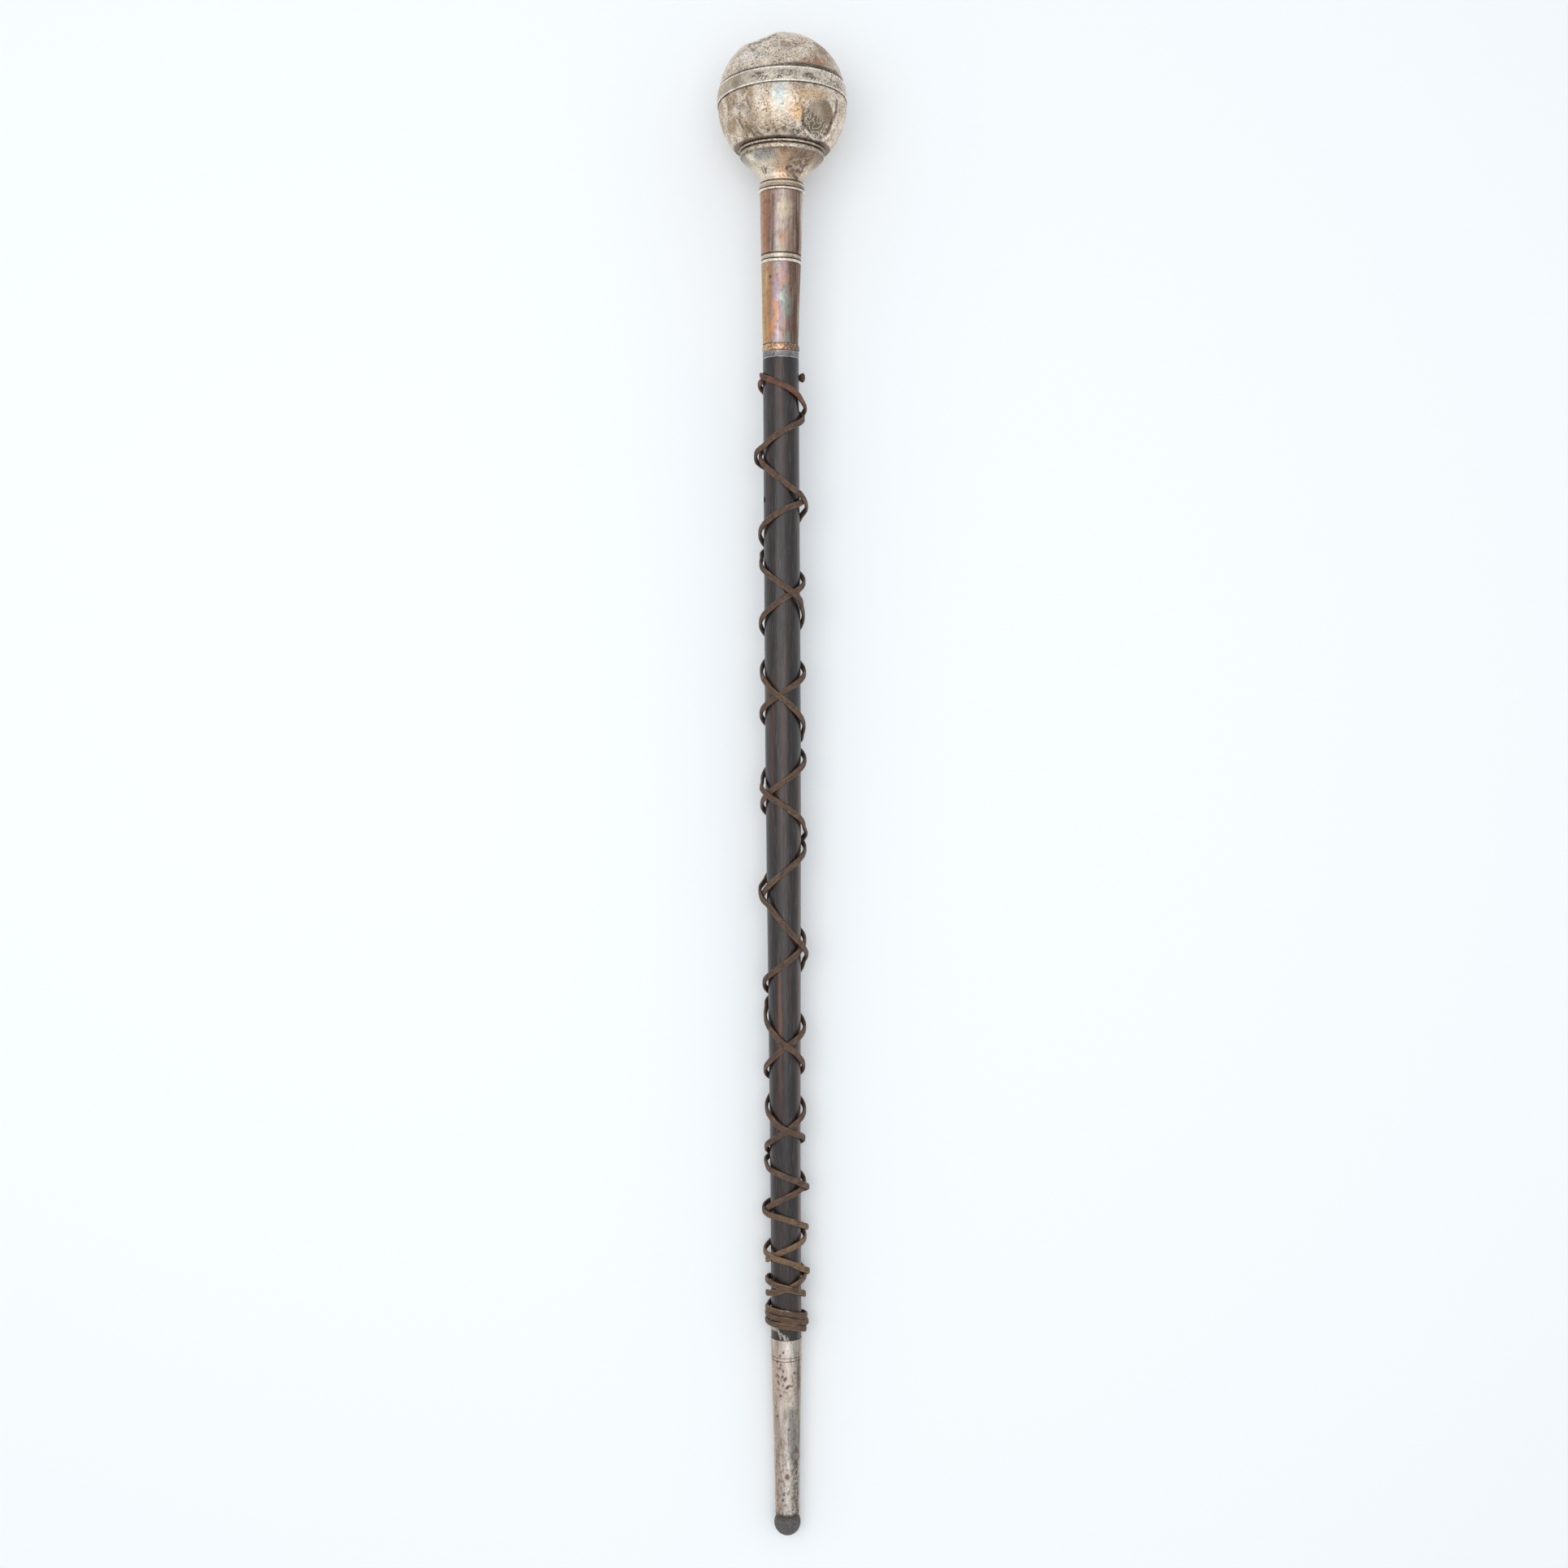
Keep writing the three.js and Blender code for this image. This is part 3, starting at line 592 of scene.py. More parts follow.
# Tints, each as it looks on a screen
SILVER = (231, 213, 193)
PALE_SILVER = (244, 236, 226)
BROWN_TARNISH = (170, 136, 104)
VIOLET_TARNISH = (160, 148, 166)
BLUE_TARNISH = (150, 162, 176)
GRIME = (92, 80, 70)
BRIGHT_EDGE = (255, 248, 238)
# Painted shadow lines: above and below the globe's belt and where the globe sits on its collar.
PAINTED_SHADOW = (58, 48, 43)
# Painted shade in grooves and along the tops of the rings.
GROOVE_SHADE = (56, 46, 40)


def tarnish(surface, base, brown, violet, blue, grime, pale):
    """Silver with soft clouds of tarnish, worn pale here and grimy there."""
    surface.cover(base)
    surface.haze(BROWN_TARNISH, brown, 11, 3.1, -0.1, 0.9)
    surface.haze(VIOLET_TARNISH, violet, 14, 8.7, 0.0, 0.9)
    surface.haze(BLUE_TARNISH, blue, 12, 15.2, 0.1, 0.9)
    surface.haze(PALE_SILVER, pale, 5, 21.4, 0.1, 0.8)
    surface.haze(GRIME, grime, 3.2, 27.9, 0.15, 0.85)


def veins(points, size, seed, width=0.16):
    """A crackle of thin crooked lines."""
    return 1 - smooth(abs(lumps(points, size, seed)), width * 0.4, width)


# Tip ball
def paint_tip(surface):
    surface.cover((94, 90, 88))
    # Painted shadow: the ball's top under the ferrule's mouth is painted dark, and the ball turns browner
    # towards its top.
    surface.wash((42, 36, 33), 0.85 * smooth(surface.place, TIP_HEIGHT - 2.4, TIP_HEIGHT - 1.2))
    brown = smooth(surface.place, TIP_HEIGHT - 6, TIP_HEIGHT - 3)
    surface.wash((84, 70, 60), 0.3 * brown + 0.25 * surface.cloud(4, 0, 0, 0.8))


def relief_tip(surface):
    return 0.12 * lumps(surface.points, 3.5) + 0.05 * lumps(surface.points, 1.4)


def make_tip():
    top = math.acos((TIP_HEIGHT - TIP_RADIUS) / TIP_RADIUS)
    visible = [
        (TIP_RADIUS * math.sin(turn), TIP_RADIUS + TIP_RADIUS * math.cos(turn))
        for turn in np.linspace(math.radians(178), top, 40)
    ]
    hidden = [(0, TIP_HEIGHT), (0, 0)]
    turned("tip_ball", visible, hidden, 96, 1, "iron", paint_tip, relief_tip)


# Ferrule
def ferrule_radius(place):
    share = (place - FERRULE_FOOT) / FERRULE_LENGTH
    return FERRULE_FOOT_RADIUS + (FERRULE_TOP_RADIUS - FERRULE_FOOT_RADIUS) * share ** FERRULE_TAPER_POWER


# The ferrule's tarnish round it, with painted reflections as a pale front stripe, a dark band right of it and
# pale sides, and its marks in photo pixels
FERRULE_STOPS = [
    (-180, (162, 142, 128)), (-85, (198, 180, 162)), (-50, (172, 152, 137)), (-14, (204, 192, 182)),
    (10, (236, 230, 221)), (30, (182, 172, 160)), (56, (112, 104, 97)), (86, (196, 184, 168)),
    (180, (162, 142, 128)),
]
FERRULE_SPOTS = [
    (958, 1678), (962, 1682), (961, 1686), (965, 1667), (961, 1671), (979, 1692), (968, 1699),
    (970, 1822), (966, 1842), (965, 1849), (958, 1745), (972, 1762), (962, 1720),
]
GREEN_STREAK = ((973, 1700), (971, 1745), 3, 5)
# A dark line painted as shade down the ferrule's right edge, and a grey band painted as a dark reflection on
# its right side.
RIGHT_EDGE_SHADE = ((984, 1674), (984, 1712), 1.2, 1.6)
GREY_STREAK = ((975, 1740), (977, 1800), 4, 6)
ROSY_PATCH = ((966, 1700), (24, 60))
HOLED_PATCH = ((966, 1702), (24, 30), 0.3)
SMALL_HOLED_PATCH = ((961, 1684), (8, 9))
FERRULE_BLEMISHES = [
    ((214, 198, 184), 0.6, (970, 1820), (12, 15), 0.2),
    ((104, 84, 74), 0.8, (970, 1820), (6, 8), 0.3),
    ((92, 84, 78), 0.7, (980, 1794), (12, 12), 0.2),
    ((150, 134, 122), 0.8, (980, 1794), (8, 8), 0.3),
]


def paint_ferrule(surface):
    right = smooth(np.sin(surface.turn), 0.1, 0.8)
    low = 1 - smooth(surface.place, FERRULE_FOOT + 30, FERRULE_FOOT + 90)
    surface.grit = 0.25 + 0.4 * surface.cloud((6, 16, 6), 93, 0, 0.7) + 0.5 * right * low
    cover_round(surface, FERRULE_STOPS)
    surface.haze((196, 170, 156), 0.4, (3, 40, 3), 21, 0.1, 0.8)
    surface.haze((236, 228, 216), 0.4, (2, 30, 2), 31, 0.2, 0.8)
    surface.wash((190, 190, 140), 0.3 * surface.stroke(*GREEN_STREAK))
    surface.haze((132, 110, 96), 0.45, (1.6, 12, 1.6), 71, 0.1, 0.7)
    surface.wash((222, 190, 178), 0.45 * surface.patch(*ROSY_PATCH))
    large_holes = surface.cloud((1.8, 2.8, 1.8), 58, 0.35, 0.6) * surface.patch(*HOLED_PATCH)
    small_holes = surface.cloud((1.6, 2.4, 1.6), 98, 0.3, 0.5) * surface.patch(*SMALL_HOLED_PATCH)
    surface.wash((70, 58, 50), 0.85 * np.maximum(large_holes, small_holes))
    # Painted shade down the right edge and a painted dark reflection on the right side.
    surface.wash((84, 74, 68), 0.6 * surface.stroke(*RIGHT_EDGE_SHADE))
    surface.wash((110, 110, 110), 0.65 * surface.stroke(*GREY_STREAK))
    surface.wash((80, 76, 72), 0.85 * surface.cloud((2, 3.5, 2), 51, -0.1, 0.4) * right * low)
    surface.wash((100, 82, 72), 0.55 * (surface.cloud((1.7, 2.4, 1.7), 108, 0.25, 0.5) * low))
    # Painted shade on the ferrule's rounded foot, by the ball.
    foot = 1 - smooth(surface.place, FERRULE_FOOT + 1.2, FERRULE_FOOT + 3.2)
    surface.wash((60, 52, 46), 0.85 * foot)
    for place in FERRULE_LINES:
        line = 1 - smooth(abs(surface.place - place), FERRULE_LINE_WIDTH * 0.2, FERRULE_LINE_WIDTH * 0.5)
        surface.wash((104, 90, 80), 0.6 * line)
    for centre in FERRULE_SPOTS:
        surface.wash((66, 54, 46), 0.85 * surface.patch(centre, (2.6, 3.4)))
    surface.patches(FERRULE_BLEMISHES)


def relief_ferrule(surface):
    stand = 0.06 * lumps(surface.points, 7, 2) + 0.03 * lumps(surface.points, 2, 9)
    for centre in FERRULE_SPOTS:
        stand = stand - 0.25 * surface.patch(centre, (3, 4))
    return stand


def make_ferrule():
    rounded = FERRULE_FOOT + FERRULE_ROUNDING
    mouth_edge = (FERRULE_MOUTH_RADIUS + FERRULE_FOOT_RADIUS) / 2
    visible = [(FERRULE_MOUTH_RADIUS, FERRULE_FOOT)]
    for turn in np.linspace(0, math.pi / 2, 7):
        edge = mouth_edge + (ferrule_radius(rounded) - mouth_edge) * math.sin(turn)
        visible.append((edge, rounded - FERRULE_ROUNDING * math.cos(turn)))
    for place in np.linspace(rounded, LOWER_LINE - FERRULE_LINE_WIDTH, 12)[1:]:
        visible.append((ferrule_radius(place), place))
    for place in FERRULE_LINES:
        visible.append((ferrule_radius(place), place - FERRULE_LINE_WIDTH / 2))
        visible.append((ferrule_radius(place) - FERRULE_LINE_DEPTH, place - FERRULE_LINE_WIDTH / 6))
        visible.append((ferrule_radius(place) - FERRULE_LINE_DEPTH, place + FERRULE_LINE_WIDTH / 6))
        visible.append((ferrule_radius(place), place + FERRULE_LINE_WIDTH / 2))
    visible.append((FERRULE_TOP_RADIUS, FERRULE_TOP - FIT_GAP))
    visible.append((FERRULE_TOP_RADIUS - FIT_GAP, FERRULE_TOP))
    hidden = [(FERRULE_TOP_RADIUS - FERRULE_WALL, FERRULE_TOP), (FERRULE_MOUTH_RADIUS, rounded)]
    turned("ferrule", visible, hidden, 144, 0.8, "ferrule_silver", paint_ferrule, relief_ferrule)


# Shaft
def shaft_radius(place):
    share = smooth(place, SHAFT_FOOT + TAPER_START, SHAFT_FOOT + TAPER_START + TAPER_LENGTH)
    return SHAFT_TIP_RADIUS + (SHAFT_HEAD_RADIUS - SHAFT_TIP_RADIUS) * share


def place_on_shaft(share):
    return SHAFT_FOOT + SHAFT_LENGTH * share


# Dried glue between the binding and the ferrule, and a red streak, in photo pixels
GLUE_STREAKS = [
    ((950, 1635), (958, 1638)), ((951, 1637), (957, 1640)), ((959, 1640), (962, 1650)),
    ((962, 1643), (970, 1653)), ((967, 1646), (966, 1654)), ((970, 1648), (973, 1655)),
]
RED_STREAK = ((960.5, 1195), (962, 1300), 1.6, 2)


def paint_shaft(surface):
    surface.cover((38, 32, 31))
    surface.haze((92, 54, 42), 0.5, (3.2, 150, 3.2), 5, 0.2, 0.9)
    surface.haze((32, 29, 31), 0.6, (2.4, 110, 2.4), 12, 0.1, 0.8)
    # Painted shade on the shaft's right side.
    surface.wash((27, 23, 23), 0.6 * smooth(np.sin(surface.turn), 0.25, 0.6))
    low = 1 - smooth(surface.place, place_on_shaft(0.5), place_on_shaft(0.64))
    edge = smooth(np.sin(surface.turn), 0.72, 0.93)
    surface.wash((104, 78, 62), 0.6 * low * edge)
    surface.wash((118, 76, 58), 0.7 * surface.stroke(*RED_STREAK))
    surface.haze((68, 54, 48), 0.3, (7, 60, 7), 33, 0.2, 0.9)
    surface.lines((190, 178, 160), 0.75, GLUE_STREAKS, 0.7, 0.9)


def relief_shaft(surface):
    points = surface.points
    return 0.05 * lumps(points, (4, 60, 4), 7) + 0.02 * lumps(points, (1.2, 30, 1.2), 17)


def drilled(mesh):
    """The shaft with its two real holes."""
    shaft = add_object("shaft_blank", mesh)
    drills = []
    for radius, share in ((THONG_HOLE_RADIUS, THONG_HOLE_SHARE), (SPARE_HOLE_RADIUS, SPARE_HOLE_SHARE)):
        shape = bmesh.new()
        bmesh.ops.create_cone(
            shape, cap_ends=True, segments=32, radius1=radius, radius2=radius, depth=4 * SHAFT_HEAD_RADIUS)
        turn = Matrix.Rotation(DRILL_TURN, 4, "Y")
        bmesh.ops.transform(
            shape, matrix=Matrix.Translation((0, place_on_shaft(share), 0)) @ turn, verts=shape.verts)
        drill_mesh = bpy.data.meshes.new("drill")
        shape.to_mesh(drill_mesh)
        shape.free()
        drill = add_object("drill", drill_mesh)
        modifier = shaft.modifiers.new("drill", "BOOLEAN")
        modifier.operation = "DIFFERENCE"
        modifier.solver = "EXACT"
        modifier.object = drill
        drills.append(drill)
    graph = bpy.context.evaluated_depsgraph_get()
    cut = bpy.data.meshes.new_from_object(shaft.evaluated_get(graph))
    for scrap in (shaft, *drills):
        bpy.data.objects.remove(scrap)
    return cut


def make_shaft():
    visible = [(SHAFT_TIP_RADIUS, SHAFT_FOOT)]
    glued = SHAFT_FOOT + np.arange(0.6, GLUED_LENGTH, 0.6)
    bare = np.linspace(SHAFT_FOOT + GLUED_LENGTH, SHAFT_TOP, 60)
    for place in (*glued, *bare):
        visible.append((float(shaft_radius(place)), place))
    tail = TIP_HEIGHT + FIT_GAP
    bore_foot = FERRULE_FOOT_RADIUS - FERRULE_WALL - 2 * FIT_GAP
    bore_top = FERRULE_TOP_RADIUS - FERRULE_WALL - FIT_GAP
    hidden = [
        (TENON_RADIUS, SHAFT_TOP), (TENON_RADIUS, TENON_TOP), (0, TENON_TOP), (0, tail),
        (bore_foot, tail), (bore_foot, FERRULE_FOOT + FERRULE_ROUNDING), (bore_top, SHAFT_FOOT),
    ]
    turned("shaft", visible, hidden, 96, 1.7, "ebony", paint_shaft, relief_shaft, cut=drilled)


# Socket band, rings and sleeves
def paint_band(surface):
    surface.grit = np.full(len(surface.points), 0.4)
    surface.cover((124, 124, 128))
    surface.haze((82, 88, 98), 0.6, 4, 6, 0, 0.7)
    surface.haze((150, 132, 112), 0.5, 2.4, 16, 0.2, 0.8)
    low = 1 - smooth(surface.place, BAND_FOOT, BAND_FOOT + 0.9)
    high = smooth(surface.place, BAND_FOOT + SOCKET_BAND_LENGTH - 0.9, BAND_FOOT + SOCKET_BAND_LENGTH)
    chips = 1 - 0.8 * surface.cloud(3, 70, 0, 0.4)
    surface.wash((222, 212, 198), 0.9 * np.maximum(low * chips, high * 0.8))


def make_band():
    top = BAND_FOOT + SOCKET_BAND_LENGTH
    edge = 0.25
    visible = [
        (SOCKET_RADIUS, BAND_FOOT), (SOCKET_BAND_RADIUS - edge, BAND_FOOT),
        (SOCKET_BAND_RADIUS, BAND_FOOT + edge), (SOCKET_BAND_RADIUS, top - edge),
        (SOCKET_BAND_RADIUS - edge, top),
    ]
    turned("socket_band", visible, [(SOCKET_RADIUS, top)], 144, 0.5, "ring_silver", paint_band, relief_ring)


def relief_ring(surface):
    return 0.05 * lumps(surface.points, 3, 4) + 0.025 * lumps(surface.points, 1.2, 14)


def cover_round(surface, stops):
    """Tints that change round the staff, from stops of (degrees from the front, colour)."""
    turns = [math.radians(degrees) for degrees, colour in stops]
    colours = np.array([srgb(*colour) for degrees, colour in stops])
    turn = surface.turn + 0.16 * lumps(surface.points, (9, 30, 9), 44)
    surface.tints = np.stack([np.interp(turn, turns, part) for part in colours.T], axis=1)


# Colours round the sleeves and rings, by degrees from the front: tarnish with painted reflections, a paler
# stripe near the front, a dark band to its right and, on most, pale sides.
LOWER_SLEEVE_STOPS = [
    (-180, (150, 120, 96)), (-85, (196, 164, 122)), (-45, (192, 148, 104)), (-25, (178, 136, 104)),
    (-14, (170, 150, 158)), (2, (178, 160, 166)), (16, (166, 140, 128)), (30, (128, 102, 90)),
    (50, (106, 82, 68)), (72, (128, 106, 90)), (88, (200, 184, 166)), (180, (150, 120, 96)),
]
UPPER_SLEEVE_STOPS = [
    (-180, (150, 128, 112)), (-80, (184, 154, 136)), (-48, (182, 130, 102)), (-26, (146, 116, 102)),
    (-18, (170, 150, 148)), (4, (186, 172, 160)), (18, (172, 150, 136)), (36, (142, 116, 102)),
    (50, (98, 76, 64)), (60, (150, 126, 110)), (86, (210, 198, 186)), (180, (150, 128, 112)),
]
LOWER_RING_STOPS = [
    (-180, (150, 120, 98)), (-80, (206, 180, 140)), (-30, (206, 160, 122)), (0, (214, 164, 136)),
    (30, (150, 112, 88)), (60, (92, 72, 60)), (180, (150, 120, 98)),
]
RING_STOPS = [
    (-180, (150, 132, 114)), (-80, (222, 208, 188)), (-30, (226, 208, 184)), (0, (240, 226, 206)),
    (34, (196, 176, 154)), (60, (146, 128, 112)), (84, (206, 192, 174)), (180, (150, 132, 114)),
]

# The sleeves' marks in photo pixels
SLEEVE_MIDDLE = 963
COPPER_PATCH = ((963, 338), (14, 34))
COPPER_SWIRL = [((951, 408), (956, 384), 3, 4), ((956, 384), (954, 372), 3, 4)]
SLEEVE_SCRATCHES = [((957, 363), (962, 369)), ((961, 362), (966, 371)), ((958, 369), (961, 373))]
SLEEVE_PIT = ((949, 341), (3.5, 3.5))
UPPER_SLEEVE_PATCHES = [
    ((176, 190, 176), 0.5, (962, 304), (12, 18)),
    ((226, 210, 182), 0.45, (966, 256), (22, 22)),
]
# Two dark lines painted as dark reflections along the upper sleeve: near its right side and left of its
# middle.
UPPER_SLEEVE_STROKES = [
    ((84, 64, 54), 0.7, (985, 236), (983, 308), 0.8, 1.2),
    ((90, 70, 62), 0.5, (953, 240), (952, 306), 1.4, 1.6),
]
WARM_PATCH = ((964, 296), (8, 22))


def start_sleeve(surface, stops):
    """Tarnish round a sleeve with painted reflection stripes, and long thin streaks of lighter and darker
    tarnish along it.
    """
    surface.grit = np.full(len(surface.points), 0.12)
    cover_round(surface, stops)
    surface.haze((96, 76, 64), 0.3, (1.6, 40, 1.6), 52, 0.1, 0.8)
    surface.haze((226, 210, 196), 0.3, (1.4, 34, 1.4), 62, 0.1, 0.8)


def paint_lower_sleeve(surface):
    start_sleeve(surface, LOWER_SLEEVE_STOPS)
    middle = 1 - smooth(abs(surface.x - SLEEVE_MIDDLE), 8, 15)
    surface.wash((206, 130, 86), 0.75 * surface.patch(*COPPER_PATCH) * surface.cloud(5, 61, -0.3, 0.3))
    surface.wash((140, 168, 158), 0.5 * middle * surface.cloud((5, 14, 5), 80, 0.0, 0.7))
    surface.wash((186, 146, 164), 0.45 * middle * surface.cloud((5, 16, 5), 90, 0.0, 0.7))
    swirl = np.maximum(*(surface.stroke(*part) for part in COPPER_SWIRL))
    surface.wash((222, 148, 92), 0.6 * swirl)
    surface.lines((236, 230, 222), 0.4, SLEEVE_SCRATCHES, 0.5, 0.9)
    surface.wash((60, 48, 42), 0.8 * surface.patch(*SLEEVE_PIT))
    surface.haze(GRIME, 0.3, 3, 29, 0.2, 0.8)


def paint_upper_sleeve(surface):
    start_sleeve(surface, UPPER_SLEEVE_STOPS)
    surface.haze((178, 140, 140), 0.25, (4, 18, 4), 95, 0.1, 0.8)
    surface.patches(UPPER_SLEEVE_PATCHES)
    surface.strokes(UPPER_SLEEVE_STROKES)
    surface.wash((196, 128, 96), 0.5 * surface.patch(*WARM_PATCH))
    surface.haze(GRIME, 0.3, 3, 39, 0.2, 0.8)


def paint_lipped_ring(surface, foot, height, lip_height):
    """A ring's tarnish round it with painted reflections, painted shade in the groove under its lip and at
    its top, and a bright lip.
    """
    cover_round(surface, RING_STOPS)
    surface.grit = np.full(len(surface.points), 0.45)
    surface.haze(GRIME, 0.35, 2, 49, 0.1, 0.7)
    lip = 1 - smooth(surface.place, foot + lip_height * 0.8, foot + lip_height)
    worn = 0.8 + 0.3 * lumps(surface.points, 4, 58)
    surface.wash((255, 248, 236), 0.85 * lip * worn)
    crest = 1 - smooth(abs(surface.place - foot - height + 2.0), 0.3, 0.8)
    surface.wash((250, 240, 226), 0.7 * crest * worn)
    surface.wash((150, 122, 98), 0.5 * (1 - lip) * (1 - crest))
    # Painted shade in the groove under the lip and along the ring's top edge.
    groove = 1 - smooth(abs(surface.place - foot - lip_height - RING_GROOVE / 2), 0.2, 0.7)
    edge = smooth(surface.place, foot + height - 1.2, foot + height - 0.5)
    surface.wash(GROOVE_SHADE, 0.85 * np.maximum(groove, edge))


def paint_lower_ring(surface):
    cover_round(surface, LOWER_RING_STOPS)
    surface.haze(GRIME, 0.4, 2, 49, 0.1, 0.7)


def paint_middle_ring(surface):
    paint_lipped_ring(surface, MIDDLE_RING_FOOT, MIDDLE_RING_LENGTH, MIDDLE_RING_LIP_HEIGHT)


def paint_neck_ring(surface):
    paint_lipped_ring(surface, NECK_RING_FOOT, NECK_RING_LENGTH, NECK_RING_LIP_HEIGHT)


def relief_sleeve(surface):
    return 0.06 * lumps(surface.points, 9, 4) + 0.02 * lumps(surface.points, 2.5, 14)


def make_rings_and_sleeves():
    ring_top = LOWER_RING_FOOT + LOWER_RING_LENGTH
    visible = bead(LOWER_SLEEVE_FOOT_RADIUS, LOWER_RING_RADIUS, LOWER_RING_FOOT, ring_top, 14)
    turned("lower_ring", [(SOCKET_RADIUS, LOWER_RING_FOOT)] + visible, [(SOCKET_RADIUS, ring_top)],
           144, 0.6, "ring_silver", paint_lower_ring, relief_ring)

    top = LOWER_SLEEVE_FOOT + LOWER_SLEEVE_LENGTH
    socket_top = TENON_TOP + FIT_GAP
    visible = [(LOWER_SLEEVE_FOOT_RADIUS, LOWER_SLEEVE_FOOT), (LOWER_SLEEVE_TOP_RADIUS, top)]
    hidden = [(0, top), (0, socket_top), (SOCKET_RADIUS, socket_top), (SOCKET_RADIUS, LOWER_SLEEVE_FOOT)]
    turned("lower_sleeve", visible, hidden, 144, 1, "sleeve_silver", paint_lower_sleeve, relief_sleeve, HEAD)

    lip_top = MIDDLE_RING_FOOT + MIDDLE_RING_LIP_HEIGHT
    ring_top = MIDDLE_RING_FOOT + MIDDLE_RING_LENGTH
    visible = bead(LOWER_SLEEVE_TOP_RADIUS, MIDDLE_RING_RADIUS, MIDDLE_RING_FOOT, lip_top, 10)
    visible += [
        (UPPER_SLEEVE_FOOT_RADIUS - RING_GROOVE_DEPTH, lip_top + RING_GROOVE / 2),
        (UPPER_SLEEVE_FOOT_RADIUS - 0.1, lip_top + RING_GROOVE),
        (UPPER_SLEEVE_FOOT_RADIUS, ring_top - 0.3),
        (UPPER_SLEEVE_FOOT_RADIUS - 0.3, ring_top),
    ]
    turned("middle_ring", visible, [(0, ring_top), (0, MIDDLE_RING_FOOT)],
           144, 0.6, "ring_silver", paint_middle_ring, relief_ring, HEAD)

    top = UPPER_SLEEVE_FOOT + UPPER_SLEEVE_LENGTH
    visible = [(UPPER_SLEEVE_FOOT_RADIUS, UPPER_SLEEVE_FOOT), (UPPER_SLEEVE_TOP_RADIUS, top)]
    turned("upper_sleeve", visible, [(0, top), (0, UPPER_SLEEVE_FOOT)],
           144, 1, "sleeve_silver", paint_upper_sleeve, relief_sleeve, HEAD)

    lip_top = NECK_RING_FOOT + NECK_RING_LIP_HEIGHT
    ring_top = NECK_RING_FOOT + NECK_RING_LENGTH
    visible = bead(NECK_RING_BAND_RADIUS - RING_GROOVE_DEPTH, NECK_RING_RADIUS, NECK_RING_FOOT, lip_top, 10)
    visible += [
        (NECK_RING_BAND_RADIUS - RING_GROOVE_DEPTH, lip_top + RING_GROOVE / 2),
        (NECK_RING_BAND_RADIUS, lip_top + RING_GROOVE),
        (NECK_RADIUS, ring_top),
    ]
    turned("neck_ring", visible, [(0, ring_top), (0, NECK_RING_FOOT)],
           160, 0.6, "ring_silver", paint_neck_ring, relief_ring, HEAD)


# Neck and collar, and the marks on the collar's neck in photo pixels
COLLAR_SCRATCHES = [
    ((938, 206), (941, 213)), ((941, 205), (944, 212)), ((944, 207), (943, 214)), ((969, 213), (972, 217)),
]
COLLAR_PIT = ((969.6, 207), (4, 5))


def paint_collar(surface):
    surface.grit = 0.45 + 0.4 * smooth(surface.place, RIM_FOOT - 3, RIM_FOOT + 1)
    tarnish(surface, SILVER, 0.35, 0.05, 0.05, 0.35, 0.25)
    under = 1 - smooth(surface.place, RIM_FOOT - 1, RIM_FOOT + 0.5)
    flare = smooth(surface.place, NECK_FOOT + NECK_LENGTH + 6, RIM_FOOT - 2) * under
    # Under the rim, tarnish with painted reflections and painted shade by side: pale on the left, warm in the
    # middle, dark and mottled on the right, blue-grey on the flare's left and browner on its right.
    side = np.sin(surface.turn + 0.2 * lumps(surface.points, (9, 5, 9), 47))
    surface.wash((240, 226, 202), 0.7 * under * (1 - smooth(side, -0.4, -0.2)))
    warm = smooth(side, -0.35, -0.15) * (1 - smooth(side, 0.2, 0.5))
    surface.wash((216, 178, 144), 0.75 * under * warm)
    dark = smooth(side, 0.1, 0.4) * (1 - smooth(side, 0.75, 0.92))
    mottle = 0.5 + 0.5 * surface.cloud(3, 57, -0.3, 0.4)
    surface.wash((104, 80, 60), 0.9 * under * dark * mottle)
    cool = 0.75 * flare * (1 - smooth(side, -0.2, 0.0))
    surface.haze((120, 126, 130), cool, 9, 67, -0.9, 0.1)
    surface.wash((132, 106, 84), 0.7 * flare * smooth(side, -0.1, 0.2))
    sides = smooth(abs(np.sin(surface.turn)), 0.55, 0.95) * smooth(surface.place, RIM_FOOT - 1, RIM_FOOT)
    surface.wash((150, 128, 102), 0.6 * sides)
    # Painted shadow under the rim's overhang, and painted shade in the groove between the rim and the foot
    # ring.
    rim_shade = 1 - smooth(abs(surface.place - RIM_FOOT - 0.1), 0.4, 1.1)
    surface.wash((96, 80, 66), 0.6 * rim_shade)
    groove = 1 - smooth(abs(surface.place - RIM_FOOT - RIM_HEIGHT - COLLAR_GROOVE / 2), 0.3, 0.9)
    surface.wash(GROOVE_SHADE, 0.9 * groove)
    surface.wash((44, 36, 32), 0.8 * surface.patch(*COLLAR_PIT))
    surface.lines((74, 62, 54), 0.7, COLLAR_SCRATCHES, 0.7, 0.8)


